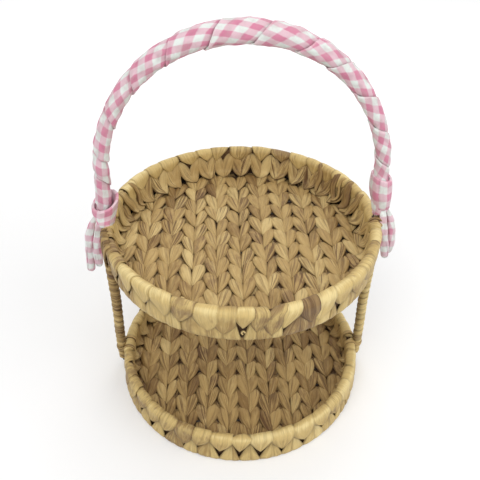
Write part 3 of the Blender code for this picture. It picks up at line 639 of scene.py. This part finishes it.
def wall_leaves(tray, places):
    """Below each notch between two strips, leaves that part to both sides, outside and inside."""
    outer, inner = Strands(), Strands()
    ordered = sorted(places, key=lambda place: (place[0] - places[0][0]) % 360)
    for here, after in zip(ordered, ordered[1:] + ordered[:1]):
        crest_a, crest_b = here[0], here[0] + (after[0] - here[0]) % 360
        tip_a, tip_b = here[1], after[1] + crest_b - after[0]
        middle = (crest_a + crest_b) / 2
        apex = middle + 0.3 * ((tip_a - crest_a) + (tip_b - crest_b)) / 2 + jitter(0.4)
        feet = []
        for way, tip, (_, _, height, gap, _) in ((-1, tip_a, here), (1, tip_b, after)):
            lap = FAN_LAP * (1 - min(gap, 1.0) - max(2 * gap - 3.0, 0.0))
            feet.append((tip + way * lap, max(height + 0.0025 - 0.012 * gap, 0.003)))
        brown = max(here[4], after[4]) * (0.8 if rng.random() < 0.7 else 0.0)
        if rng.random() < 0.18:
            fan_leaf(outer, tray, apex, feet, brown, 1)
        else:
            lean = 1 if rng.random() < 0.5 else -1
            fan_leaf(outer, tray, apex, (feet[0], (apex + FAN_SIDE, 0.008)), brown, lean)
            brown = brown if rng.random() < 0.6 else 0.0
            fan_leaf(outer, tray, apex, ((apex - FAN_SIDE, 0.008), feet[1]), brown, lean)
        notch = middle + jitter(0.5)
        for side, crest, strip in ((-1, crest_a, here), (1, crest_b, after)):
            inner_leaf(inner, tray, notch, crest + jitter(0.2), side, 0.8 * strip[4])
    outer.make(tray.label + "_wall_leaves_outside", PALE, [tray.label + "_wall_weave"])
    inner.make(tray.label + "_wall_leaves_inside")


CORE_TOP, CORE_UNDER, CORE_STEPS = 0.0042, 0.003, 96


def dark_core(tray):
    """Painted shade between the leaves: a ring and a disc of very dark leaf for the weave's insides."""
    arc = [(0.003 * math.cos(a), tray.rim + 0.0034 * math.sin(a)) for a in np.linspace(0, math.pi, 7)]
    profile = [(0.0014, 0.0016), (0.0014, 0.02), *arc, (-0.0026, 0.02), (-0.0026, 0.002)]
    offset, height = np.array(profile).T
    angle = ring_angles(CORE_STEPS).T
    number = point_numbers(CORE_STEPS, len(profile))
    faces = tube_faces(number.T, closed=True)
    strand, look = stacked(height, angle * 0.145, 3.0), np.tile([0.5, 0.3, 0.2], (number.size, 1))
    make_object(tray.label + "_wall_heart", tray.wall(offset, height, angle), faces, SHADOW_LEAF, "dried_leaf", [],
                strand=strand, look=look)
    ring = np.array([0.0005, 0.03, 0.06, 0.09, 0.12, tray.floor_radius + 0.001])[:, None]
    turn = np.linspace(0, TURN, 65)[None, :]
    x, y = ring * np.cos(turn), ring * np.sin(turn)
    over, low = (stacked(x, y, tray.base + level) for level in (CORE_TOP, CORE_UNDER))
    body = Strands()
    body.sheet(over, low, x, y, 7.0, 0.45, 0.35, 0.2)
    body.make(tray.label + "_floor_heart", SHADOW_LEAF)


# Posts.

def leg_x(height):
    """How far the middle of a leg of the rod is from the middle of the tray."""
    low = POST_X + (BEND_X - POST_X) * ease((height - BEND_START) / (BEND_END - BEND_START))
    high = BEND_X + (HANDLE_HALF - BEND_X) * (height - BEND_END) / (SPRING - BEND_END)
    return np.where(height >= BEND_END, high, low)


def post_lean(height):
    """How far a post bends towards the trays between the lower rim and the upper one."""
    return 0.0026 * ease((height - 0.04) / 0.085) * (1 - unit((height - 0.213) / 0.0145))


def lot(value, scale=43758.5453):
    """A number between 0 and 1 that jumps about from one value to the next."""
    return np.sin(value) * scale % 1.0


def fan(row, centre):
    """Faces from a ring of points to its centre."""
    return np.stack([np.roll(row, 1)[::2], row[::2], row[1::2], np.full(len(row) // 2, centre)], -1)


POST_TURNS, POST_ROWS, POST_AROUND = 25, 301, 30


def post(label, side):
    """Flat strand wound up the post in uneven turns that just lap one another."""
    share, angle = np.linspace(0, 1, POST_ROWS)[:, None], ring_angles(POST_AROUND)
    bends = noise_at(side * 7.3, 0.0, share * 9.0)
    rough = noise_at(np.cos(angle) * 1.3 + side, np.sin(angle) * 1.3, share * 60.0)
    phase = POST_TURNS * share + 0.42 * bends * np.sin(math.pi * share) - side * angle / TURN
    whole, part = np.floor(phase), phase % 1.0
    lap = 0.35 + 0.65 * lot(whole * 12.9898)
    radius = 0.005 + 0.0011 * unit(np.sin(math.pi * part)) ** 0.55
    radius += 0.001 * (part - 0.4) * lap + 0.00035 * rough
    height = POST_BOTTOM + (WOUND_TOP - POST_BOTTOM) * share
    radius *= 1 - 0.32 * unit((height - POST_TOP + 0.002) / 0.005)
    x = side * (leg_x(height) - post_lean(height)) + radius * np.cos(angle)
    ends = [(side * leg_x(z), 0, z) for z in (POST_BOTTOM, WOUND_TOP)]
    number = point_numbers(POST_ROWS, POST_AROUND)
    faces = [tube_faces(number), fan(number[0], number.size)[:, ::-1], fan(number[-1], number.size + 1)]
    fate = lot(np.floor(whole / 2) * 78.233 + side)
    odd = lot(whole * 39.425 + side * 2, 24634.6345)
    facing = side * np.cos(angle)
    # Painted light and shade: the side facing away from the trays is paler, the side facing them darker and
    # browner, and each turn darker where it meets the next.
    tone = 0.3 + 0.5 * fate + 0.22 * odd + 0.3 * unit(facing) ** 2 + 0.05 * side
    ring = 0.8 * fade(part, 0.1) + 0.4 * fade(1 - part, 0.06)
    shade = unit(ring * (0.45 + 0.8 * lap) + 0.48 * unit(0.15 - facing))
    brown = np.where(odd > 0.84, 0.8, 0.15 * fate) + 0.35 * unit(-facing)
    strand = stacked((part - 0.5) * 0.0088, angle * 0.0057 + whole * 0.0358, whole * 3.7 + 11 * side)

    def with_ends(values, added):
        return np.concatenate([values.reshape(-1, 3), added])

    make_object(label + "_post_strand", with_ends(stacked(x, radius * np.sin(angle), height), ends),
                np.concatenate(faces), PALE if side > 0 else LEAF, "dried_leaf", [label + "_post_winding"],
                strand=with_ends(strand, [(0, 0, 1), (0, 0, 2)]),
                look=with_ends(stacked(tone, shade, brown), [(0.4, 0.5, 0.2)] * 2))


def lashing(label, side, tray):
    """The flat strand that ties the post to the rim, with a crossing turn round both."""
    body = Strands()
    reach, round_rim, round_post, top = 0.0079, 0.0066, 0.0064, tray.base + tray.rim
    centre = math.sqrt(RIM_RADIUS ** 2 - reach ** 2)
    for sign in (-1, 1):
        path, ups = [], []
        for turn in np.linspace(math.radians(200), 0, 13):
            out, up = math.cos(turn), math.sin(turn)
            path.append((side * (centre + round_rim * out), sign * reach, top + round_rim * up))
            ups.append((side * out, 0, up))
        for turn in np.linspace(math.pi / 2 * 0.86, 0, 7):
            out, back = math.cos(turn), math.sin(turn)
            y = sign * (round_rim * back + 0.0002)
            path.append((side * (POST_X + round_post * out), y, top - 0.0018))
            ups.append((side * out, sign * back, 0))
        strap(body, path, ups, 0.005, 0.0009, 0.6, 0.1)
    body.make(label + "_lashing_strand", nodes=[label + "_lower_lashing"])


def right_binding():
    """Two dull leaves that bind the right post to the upper rim, with their places in mm."""
    body = Strands()
    ups = ((-1, 0, 0.2), (-0.6, 0, 1), (0, 0, 1), (0.6, -0.4, 0.8), (0.4, -1, 0.3), (0.8, -0.8, 0),
           (1, 0, 0), (0.6, 0.8, 0))
    for drop in (0.0, 4.6):
        path = ((139.2, -8.0 - drop, 233.0), (140.2, -8.4 - drop, 237.8), (144.7, -9.0 - drop, 240.2),
                (150.0, -9.4 - drop * 0.7, 239.0 - drop), (154.5, -8.2 - drop * 0.2, 235.0 - drop),
                (159.2, -4.8, 231.0 - drop), (160.2, 1.0, 227.5 - drop), (157.5, 5.6, 227.0 - drop))
        path = smooth_rows(path, 22) / 1000
        strap(body, path, smooth_rows(ups, 22), 0.0036, 0.0013, 0.1 + 0.06 * drop, 0.5)
    body.make("right_upper_binding")


def wall_strap(body, tray, facing, places, lifts, leaf, wobble, taper, thick, shade):
    """A leaf along the wall through places of offset and height. facing is 1 outside, -1 inside."""
    first, last, width, tone, brown = leaf
    turn = np.radians(np.linspace(first, last, len(places)) + wobble)
    path = tray.wall(*np.transpose(places), turn)
    ups = stacked(facing * np.cos(turn), facing * np.sin(turn), lifts)
    count = len(taper)
    strap(body, smooth_rows(path, count), smooth_rows(ups, count), width * taper, thick, tone, brown, shade)


# Rough leaves of the left binding, and loose leaves on the inside of the upper wall: direction at the
# top and at the foot in degrees, width in metres, tone, and how brown.
BINDING_LEAVES = (
    (-170.2, -176.8, 0.0052, 0.45, 0.1), (-168.0, -174.8, 0.0066, 0.3, 0.25),
    (-165.6, -172.6, 0.007, 0.2, 0.32), (-163.0, -170.2, 0.0066, 0.36, 0.16),
    (-160.4, -167.6, 0.0066, 0.24, 0.28), (-157.8, -164.6, 0.0056, 0.45, 0.08))
LOOSE_LEAVES = (
    (22.6, 23.0, 0.012, 0.14, 0.45), (13.8, 16.5, 0.0105, 0.36, 0.2), (34.5, 31.0, 0.0085, 0.2, 0.5),
    (28.4, 29.8, 0.0042, 0.45, 0.35), (45.0, 42.0, 0.007, 0.3, 0.3), (170.2, 171.4, 0.0125, 0.78, 0.0),
    (162.6, 158.2, 0.011, 0.6, 0.08), (154.0, 151.5, 0.006, 0.35, 0.3))


def left_binding(tray):
    """Rough leaves that bind the left post to the upper rim."""
    body = Strands()
    taper = np.interp(np.linspace(0, 1, 22), [0, 0.2, 0.7, 1], [0.8, 1.0, 1.0, 0.45])
    for index, leaf in enumerate(BINDING_LEAVES):
        places = np.array([(0, tray.rim + 0.0062), (0.005, tray.rim + 0.004), (0.007, tray.rim - 0.004),
                           (0.0078, 0.022), (0.008, 0.014), (0.0074, 0.007),
                           (0.0058, 0.002 + 0.003 * (index % 3))])
        places[:, 0] += 0.0007 * (index % 2)
        wobble = 0.7 * np.sin(np.arange(7) * 1.7 + index)
        wall_strap(body, tray, 1, places, (0.9,) + 6 * (0.1,), leaf, wobble, taper, 0.0015, 0.15)
    body.make("left_upper_binding")


def loose_leaves(tray):
    """Leaves that lie over the wall's inside from the crest to the floor, and a curl in an outer gap."""
    body = Strands()
    places = ((-0.001, tray.rim + 0.0048), (-0.0044, tray.rim + 0.0042), (-0.0072, 0.031),
              (-0.0082, 0.024), (-0.009, 0.0175), (-0.0108, 0.0128), (-0.015, 0.0108))
    lifts = (1.5, 0.9, 0.3, 0.2, 0.2, 0.6, 1.0)
    taper = np.interp(np.linspace(0, 1, 24), [0, 0.2, 0.6, 0.85, 1], [0.7, 0.95, 1.0, 0.7, 0.25])
    for index, leaf in enumerate(LOOSE_LEAVES):
        wobble = 0.9 * np.sin(np.arange(7) * 1.3 + index * 2.0)
        wall_strap(body, tray, -1, places, lifts, leaf, wobble, taper, 0.0013, 0.08)
    turn = np.radians(np.linspace(10, 260, 12))
    degree = math.radians(-91.6) + 0.0016 * np.cos(turn) / 0.15
    curl = tray.wall(0.005, 0.0135 + 0.0021 * np.sin(turn), degree)
    strap(body, curl, np.tile([0.0, -1.0, 0.2], (12, 1)), 0.0016, 0.0014, 1.3, 0.0)
    body.make("upper_loose_leaves")


# Handle.

def handle_line(count):
    """Middle of the handle from the left knot over the top to the right one, evenly spaced."""
    up = np.linspace(CLOTH_BOTTOM, SPRING, 60)[:-1]
    turn = np.linspace(math.pi, 0, 500)
    leg = stacked(leg_x(up), 0.0, up)
    arch = stacked(HANDLE_HALF * np.cos(turn), 0.0, SPRING + ARCH_RISE * np.sin(turn))
    return evenly(np.concatenate([leg * (-1, 1, 1), arch, leg[::-1]]), count)


# Where each turn's own edge crosses the front of the handle, in mm along it from the left end.
LAPS = (-34, 8, 50, 72, 120, 164, 207, 250, 293, 336, 370, 412, 452, 492, 532, 575, 618)
FRONT, TURN_ROWS, TUCK = 72, 50, 4.0
# Places across a turn, denser at both edges.
SHARES = (0, 0.012, 0.03, 0.06, 0.11, 0.17, 0.24, 0.31, 0.38, 0.45, 0.52, 0.59, 0.66, 0.73, 0.8, 0.86,
          0.91, 0.95, 0.98, 1.0)
CHECK_SIZES = 4 * [(18.5, 0, 13.0, 108)] + 7 * [(18.0, 14, 12.5, 132)] + 5 * [(16.0, 16, 14.0, 132)]
CHECK_ROWS = (
    [(10, 0.43, 0.83)], [(30, 0.43, 0.83)], [(60, 0.34, 0.92)], [(95, 0.85, 0.08)], [(140, 0.21, 0.18)],
    [(176, 0.38, 0.5), (200, 0.25, 0.59)], [(216, 0.29, 0.61), (242, 0.21, 0.5)], [(267, 0.87, 0.62)],
    [(305, 0.05, 0.77), (328, 0.19, 0.63)], [(345, 0.19, 0.63)], [(392, 0.5, 0.28)], [(435, 0.54, 0.99)],
    [(455, 0.47, 1.0), (485, 0.45, 1.19)], [(500, 0.45, 1.19)], [(540, 0.45, 1.19)], [(580, 0.45, 1.19)])


def check_place(turn, a, b):
    """Place on the checks, in periods, of a point a mm along and b mm round the handle."""
    turn = min(turn, len(CHECK_ROWS) - 1)
    first, first_way, second, second_way = CHECK_SIZES[turn]
    ways = np.radians([first_way, second_way])
    inverse = np.linalg.inv(np.array([np.cos(ways), np.sin(ways)]) * (first, second))
    places, *shifts = np.transpose(CHECK_ROWS[turn])
    return stacked(*(a * along + b * around - np.interp(a, places, shift)
                     for (along, around), shift in zip(inverse, shifts)))


def handle_wrap():
    """One long checked strip wound up the handle. Each turn's hem lies over the turn before."""
    line, at = handle_line(1200)
    length = at[-1] * 1000
    step = directions(line)
    knots = 360.0 * np.arange(len(LAPS)) - FRONT
    turns = len(LAPS) - 2
    unwound = np.linspace(knots[0], knots[turns], turns * TURN_ROWS + 1)[:, None]
    edge, following = np.interp(unwound, knots, LAPS), np.interp(unwound + 360, knots, LAPS)
    a = edge + (following - edge + TUCK) * SHARES
    across, left = a - edge, following + TUCK - a
    moved = a - 2.0 * np.sin(math.pi * unit(a / length)) ** 2
    place = np.clip(moved, 0, length) / 1000
    beyond = fade(np.maximum(-moved, 0), 25) - fade(np.maximum(moved - length, 0), 25)
    centre = interpolated(place, at, line) + interpolated(place, at, step) * 0.0012 * beyond[..., None]
    outward = interpolated(place, at, stacked(-step[:, 2], 0.0, step[:, 0]))
    swell = unit((centre[..., 2] - SPRING) / ARCH_RISE) ** 3
    base = LEG_CLOTH + (APEX_CLOTH - LEG_CLOTH) * swell
    weave, carried = np.zeros(a.shape + (2,)), np.zeros(2)
    for turn in range(len(CHECK_ROWS)):
        rows = slice(turn * TURN_ROWS, (turn + 1) * TURN_ROWS)
        gone = unwound[rows] - knots[turn]
        here = check_place(turn, a[rows], 1000 * base[rows] * np.radians(FRONT - gone))
        there = check_place(turn + 1, a[rows], 1000 * base[rows] * np.radians(FRONT - gone + 360))
        step_over = np.round((there - here)[len(gone) // 2].mean(0))
        share = ease((gone - 117) / 130)[..., None]
        weave[rows] = here * (1 - share) + (there - step_over) * share - carried
        carried = carried + step_over
    angle = -np.radians(unwound)
    crumple = noise_at(np.cos(angle) * 1.2, np.sin(angle) * 1.2, a * 0.1)
    fine = noise_at(unwound * 0.03, across * 0.16, 7.0)
    hem = np.interp(across, [0, 0.5, 1.5, 4, 9, 16], [0.0005, 0.001, 0.0012, 0.0009, 0.0004, 0.0])
    under = np.interp(left, [0, 2.5, 5.5, 9], [-0.0006, -0.0005, -0.0002, 0.0])
    pull = 0.00045 * np.sin(unwound * 0.11 + across * 0.16 + 3 * crumple) * fade(across, 10)
    pillow = np.sin(math.pi * unit(across / (following - edge)))
    radius = base - 0.0009 + hem * (0.85 + 0.5 * crumple) + under + pull
    radius += 0.001 * crumple + 0.0006 * fine + 0.001 * pillow
    toward = outward * np.cos(angle)[..., None] - np.array([0, 1, 0]) * np.sin(angle)[..., None]
    over, low = (centre + toward * level[..., None] for level in (radius, radius - 0.0007))
    before_lap = np.maximum(left - TUCK, 0)
    broken = np.clip(0.75 + 1.6 * crumple, 0.15, 1.3)
    shade = (0.85 * fade(before_lap, 0.7) + 0.34 * fade(before_lap, 3.5)) * broken
    shade = unit(shade + 0.55 * unit(-fine - 0.12) + 0.4 * unit(-crumple - 0.15))
    # Painted highlight: a pale line just inside the edge of each hem.
    fold_highlight = unit(0.4 * fade(np.abs(across - 0.8), 0.7) * broken)
    body = Strands()
    body.sheet(over, low, weave[..., 0], weave[..., 1], 0.0, shade, fold_highlight, 0.0)
    weave, fold = np.concatenate(body.strand), np.concatenate(body.look)
    obj = make_object("handle_check_wrap", body.points[0], body.faces[0], CLOTH, "checked_cloth",
                      ["handle_cloth_wrap"], weave=weave, fold=fold)


# Each knot's band: its lower end, its height and its fullness in metres, and then stations up it as
# shares: how far up, how full, how far out and back, and its slopes to the side and to the back.
LEFT_CUFF = (0.2295, 0.0305, 0.0051, (
    (0.0, -0.06, -0.59, -0.2, 0.0, 0.0), (0.28, 0.25, -0.49, -0.2, -0.08, 0.08),
    (0.57, 0.64, -0.24, 0.0, -0.2, 0.18), (1.0, 1.0, 0.0, 0.0, -0.34, 0.32)))
RIGHT_CUFF = (0.249, 0.039, 0.0027, (
    (0.0, 0.15, 0.0, 0.0, 0.1, 0.0), (0.33, 1.0, 0.2, 0.0, 0.0, 0.0),
    (0.69, 1.0, 0.0, 0.0, -0.15, 0.05), (1.0, 0.55, 0.1, 0.0, -0.32, 0.1)))


def knot_cuff(label, side, cuff, period, phase, flare, inward, settle):
    """The knot's band of doubled cloth, with soft folds and its edges turned. settle moves its lower
    end: towards the trays, to the front and down, how far it tilts up at the front, and how much
    narrower it gets."""
    rows = 26
    bottom, height, fullness, stations = cuff
    up, full, out, back, slope_out, slope_back = np.transpose(stations)
    up = bottom + height * up
    stations = stacked(leg_x(up) + fullness * out, fullness * back, up, CUFF_SEAT + fullness * full,
                       slope_out, slope_back)
    out, back, up, full, slope_out, slope_back = np.hsplit(smooth_rows(stations, rows), 6)
    share, angle = np.linspace(0, 1, rows)[:, None], ring_angles(64)
    crumple = noise_at(np.cos(angle) * 1.6 + side * 9, np.sin(angle) * 1.6, share * 2.2)
    pleat = noise_at(np.cos(angle) * 3.6 + side * 5, np.sin(angle) * 3.6, share * 0.9)
    outer = full - 0.0004 + 0.0007 * crumple + 0.0009 * pleat + flare * unit((share - 0.82) / 0.18) ** 2
    filled = ease((1 - share) / 0.2)
    inner = np.minimum((outer - 0.0032) * (1 - filled) + 0.0098 * filled, outer - 0.0012)
    lip = np.array([[0.75], [0.0], [-0.75]]) * (outer[-1] - inner[-1]) / 2 + (outer[-1] + inner[-1]) / 2
    radius = np.concatenate([outer, lip, inner[::-1]])
    level = np.concatenate([np.arange(rows), [rows - 1] * 3, np.arange(rows)[::-1]])
    order = np.arange(len(level))[:, None]
    rounding = np.concatenate([np.zeros(rows), [0.0008, 0.0012, 0.0008], np.zeros(rows)])[:, None]
    out, back, up, slope_out, slope_back, share, pleat = (
        values[level] for values in (out, back, up, slope_out, slope_back, share, pleat))
    sunk = unit(1 - share / 0.85) ** 1.2
    to_trays, to_front, down, tilt, narrower = settle
    radius *= 1 - narrower * sunk
    wide, deep = radius * np.cos(angle), radius * np.sin(angle)
    x = out - inward - to_trays * sunk + wide
    y = back - to_front * sunk * (0.5 - 0.5 * np.sin(angle)) + deep
    z = up - down * sunk + slope_out * wide + (slope_back - tilt * sunk) * deep
    z += rounding + 0.0006 * pleat * (share > 0.9)
    faces = tube_faces(point_numbers(*radius.shape), closed=True)[:, ::side]
    girth = np.where(angle > math.pi, angle - TURN, angle) * 0.0122
    gone = run_length(np.hstack([radius[:, :1], up + rounding]))[:, None]
    depth = np.where(order < rows, share * height, height - 0.35 * (gone - gone[rows]))
    inside = order > rows + 1
    shade = 0.8 * unit(-pleat - 0.12) + 0.35 * fade(share, 0.06) * ~inside
    shade = unit(shade + 0.12 * inside * unit((1 - share) / 0.2))
    # Painted highlight along the turned lip.
    fold_highlight = 0.25 * fade(np.abs(order - rows - 1), 1.5)
    weave = stacked(girth / period[0] + phase[0], depth / period[1] + phase[1], 0.0)
    obj = make_object(label + "_cloth_knot", stacked(side * x, y, z), faces, CLOTH, "checked_cloth",
                      [label + "_knot_cuff"], weave=weave, fold=stacked(shade, fold_highlight, 0.0))


# Middle lines of the tails: out to the side, to the back and up, and the half width, in mm.
TAILS = {
    "left_outer": (-1, 0.075, (
        (158.6, 3, 238.5, 2.6), (163.6, 1, 230.5, 3.6), (167.6, -0.5, 219.5, 4.6), (170.3, -1, 204.5, 5),
        (172.2, -1, 187, 5.2), (173.6, -0.6, 172, 4.9), (174.2, -0.4, 163, 4.3))),
    "left_inner": (-1, 0.0595, (
        (153.6, -5, 238, 3), (156.2, -8, 229, 3.8), (158.6, -8.4, 217, 4.4), (160.6, -8, 204, 4.6),
        (161.6, -7.4, 191, 4.7), (162.4, -6.6, 180, 4.3), (162.6, -6, 174.5, 3.7))),
    "right_outer": (1, 0.062, (
        (156, 2, 247.5, 3), (161.9, 0.5, 238, 3.8), (166.2, -0.6, 226.5, 4.3), (169, -1.2, 214.5, 4.5),
        (170.5, -1.6, 202.5, 4.5), (170.5, -1.4, 191, 4.2), (170, -1, 184.5, 3.6))),
    "right_inner": (1, 0.073, (
        (152, -5.5, 249, 3.2), (153.6, -8.4, 240, 4), (155.6, -9.4, 227, 4.6), (158.2, -9.6, 213.5, 4.9),
        (161.2, -9.4, 200, 4.9), (163.4, -9, 189, 4.4), (164.4, -8.6, 183, 3.6))),
}


def end_cap(row):
    """Faces that close a ring of points from side to side."""
    half, other = len(row) // 2, row[::-1]
    return np.stack([row[:half - 1], row[1:half], other[1:half], other[:half - 1]], -1)


def tail(name, period, phase, twist):
    """A folded end of the strip that hangs beside the post: puffy, with long folds and a round end."""
    side, length, stations = TAILS[name]
    x, y, z, half = np.hsplit(smooth_rows(stations, 60) / 1000, 4)
    gone = run_length(np.hstack([x, y, z]))[:, None]
    end = np.sqrt(unit(1 - unit((gone - gone[-1] + 0.0045) / 0.0046) ** 2.2))
    angle = ring_angles(32)
    across, through = np.cos(angle), np.sin(angle)
    crumple = noise_at(across * 0.9 + phase[0] * 9, through * 0.9, gone * 95)
    fold_at = 0.42 + 0.2 * np.sin(gone * 75 + phase[1] * 8)
    groove = hump(across, fold_at, 0.14) * (0.25 + 0.75 * unit(np.sin(gone * 62 + phase[0] * 9)))
    edge = hump(across, -0.62, 0.12) * unit(np.sin(gone * 110 + phase[0] * 5))
    groove, edge = groove * (through < 0), edge * (through < 0)
    wide = half * end * np.sign(across) * np.abs(across) ** 0.85 * (1 + 0.16 * crumple)
    thick = 0.003 * unit(0.55 + gone / 0.01) * np.clip(half / 0.0046, 0.6, 1.1) * (0.35 + 0.65 * end)
    deep = thick * np.sign(through) * np.abs(through) ** 0.75 * (1 + 0.4 * crumple)
    deep += 0.0015 * groove + 0.0005 * edge
    lean = twist * np.sin(gone * 45)
    wide, deep = wide * np.cos(lean) - deep * np.sin(lean), wide * np.sin(lean) + deep * np.cos(lean)
    number = point_numbers(60, 32)
    faces = np.concatenate([tube_faces(number), end_cap(number[0]), end_cap(number[-1][::-1])])
    shade = unit(0.5 * groove + 0.14 * edge + 0.3 * unit(-crumple - 0.1) + 0.2 * (through > 0.2))
    # Painted highlight beside the fold on the front; the back face gets painted shade.
    fold_highlight = 0.3 * fade(np.abs(across - fold_at - 0.25), 0.08) * (through < 0)
    weave = stacked(wide / period + phase[0] + 0.1 * np.sin(gone * 140), gone / period + phase[1], 0.0)
    obj = make_object(name + "_cloth_tail", stacked(side * (x + wide), y + deep, z + 0.0006 * crumple),
                      faces[:, ::-side], CLOTH, "checked_cloth", [name + "_tail"],
                      weave=weave, fold=stacked(shade, fold_highlight, 0.0))


# The strips at the front of each rim: place on the crest and of the outer tip in degrees, height of
# the tip in mm, how dark the gap below it is, and how brown the strip is.
UPPER_FRONT = (
    (-177, -176.5, 6, 0, 0), (-168.5, -169.5, 6, 0.3, 0.35), (-160, -162, 9, 0.9, 0.7),
    (-151.5, -152.5, 12, 0.6, 0.45), (-142.8, -141, 16.5, 0.9, 0), (-133.5, -130.9, 19.5, 0.9, 0),
    (-124, -121.5, 16, 0.2, 0), (-114.5, -115.5, 15.5, 0.5, 0.45), (-105.6, -104.6, 12.5, 0.2, 0),
    (-98.1, -99, 10.5, 0.3, 0), (-91.4, -92, 20.8, 2.3, 0), (-85.5, -87.2, 15, 0.4, 0.45),
    (-80.8, -81.4, 7, 0.2, 0.5), (-74.2, -77.2, 15, 1.1, 0), (-67.4, -66, 13, 0.2, 1),
    (-60.3, -62.3, 11, 0, 0), (-51.8, -52.8, 18.5, 1.3, 0), (-43, -42.5, 15, 0.3, 0),
    (-34, -31.5, 14, 0.4, 0.2), (-25, -22.5, 14, 0.5, 0.35), (-16, -14.5, 15, 0.3, 0), (-7.5, -7, 15, 0.2, 0))
LOWER_FRONT = (
    (-171, -171, 14, 0.5, 0.35), (-162, -162.5, 15, 0.8, 0.55), (-153.5, -154, 13, 0.9, 0.25),
    (-144, -145, 18, 1, 0.4), (-135.5, -136.2, 16.5, 1.4, 0.2), (-126.5, -128, 18, 1.4, 0.3),
    (-118, -117.6, 13, 0.9, 0.6), (-109.8, -111.2, 19, 0.9, 0), (-100.5, -101, 18, 1.4, 0),
    (-91.8, -92.4, 19.5, 1.4, 0), (-82.8, -83.5, 17.5, 1.3, 0), (-73, -73.6, 15, 1, 0),
    (-62.8, -62.7, 14.5, 1.1, 0), (-52.5, -51.8, 19, 0.8, 0), (-42.8, -42.4, 18, 0.9, 0),
    (-33, -32, 15, 0.5, 0))


# Build.

def make_ground():
    """A pale floor that the camera sees lighter further out."""
    mesh = bpy.data.meshes.new("ground")
    mesh.from_pydata([(-6, -6, 0), (6, -6, 0), (6, 6, 0), (-6, 6, 0)], [], [(0, 1, 2, 3)])
    n = material_nodes("pale_floor")
    rays = n.node("LightPath").outputs
    seen = n.math("MAXIMUM", rays["Is Camera Ray"], rays["Is Glossy Ray"])
    seen = n.math("MAXIMUM", seen, rays["Is Transmission Ray"])
    distance = n.node("VectorMath", n.position(), operation="LENGTH").outputs["Value"]
    glow = n.node("Emission", (1, 1, 1, 1), n.times(seen, n.span(distance, 0.25, 1.5, 0.15, 0.4)))
    plain = n.node("BsdfDiffuse", (0.82, 0.82, 0.82, 1))
    both = n.node("AddShader", plain.outputs[0], glow.outputs[0])
    n.node("OutputMaterial", both.outputs[0])
    mesh.materials.append(n.block)
    obj = new_object("ground", mesh)
    obj.location.z = -0.0002


def make_world():
    """White light from all round, brighter where it is seen or mirrored."""
    n = Nodes(bpy.data.worlds.new("studio"))
    rays = n.node("LightPath").outputs
    seen = n.math("MAXIMUM", rays["Is Camera Ray"], rays["Is Glossy Ray"])
    strength = n.span(seen, 0.0, 1.0, 0.62, 1.0, kind="LINEAR")
    n.node("OutputWorld", n.node("Background", (1, 1, 1, 1), strength).outputs[0])
    bpy.context.scene.world = n.block


def main():
    bpy.context.scene.view_settings.view_transform = "Standard"
    make_camera()
    make_ground()
    make_world()
    make_light("key", (-0.5, -0.9, 1.5), 1.1, 11)
    make_light("fill", (0.9, -0.5, 0.9), 1.2, 5)
    make_light("rear", (0.2, 1.0, 1.1), 1.0, 4)
    # The lower tray's floor and inner wall get tone -0.15: painted shade under the upper tray.
    lower = Tray("lower", 0.0, 0.038, 0.0035, 0.1434, 0.0083, -0.15)
    upper = Tray("upper", 0.201, 0.04, -0.0024, 0.1375, -0.002, 0.0)
    for tray, front in ((lower, LOWER_FRONT), (upper, UPPER_FRONT)):
        places = strip_places(front)
        floor_weave(tray, True)
        floor_weave(tray, False)
        rim_strips(tray, places)
        wall_leaves(tray, places)
        dark_core(tray)
    for label, side in (("left", -1), ("right", 1)):
        post(label, side)
        lashing(label, side, lower)
    left_binding(upper)
    loose_leaves(upper)
    right_binding()
    handle_wrap()
    knot_cuff("left", -1, LEFT_CUFF, (0.0152, 0.0185), (0.55, 0.47), -0.0003, 0.0013,
              (0.0034, 0.0099, -0.006, 0.42, 0.12))
    knot_cuff("right", 1, RIGHT_CUFF, (0.0175, 0.02), (0.6, 0.05), 0.0, -0.001,
              (-0.0012, 0.0, 0.0, 0.0, 0.2))
    tail("left_outer", 0.0165, (0.48, 0.3), 0.12)
    tail("left_inner", 0.0165, (0.42, 0.62), -0.1)
    tail("right_outer", 0.0175, (0.3, 0.1), 0.1)
    tail("right_inner", 0.0165, (0.44, 0.35), -0.12)
    for name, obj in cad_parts.items():
        if not obj.hide_render:
            for slot in obj.material_slots:
                slot.material = LEAF if name == "handle_leaf_padding" else IRON


main()
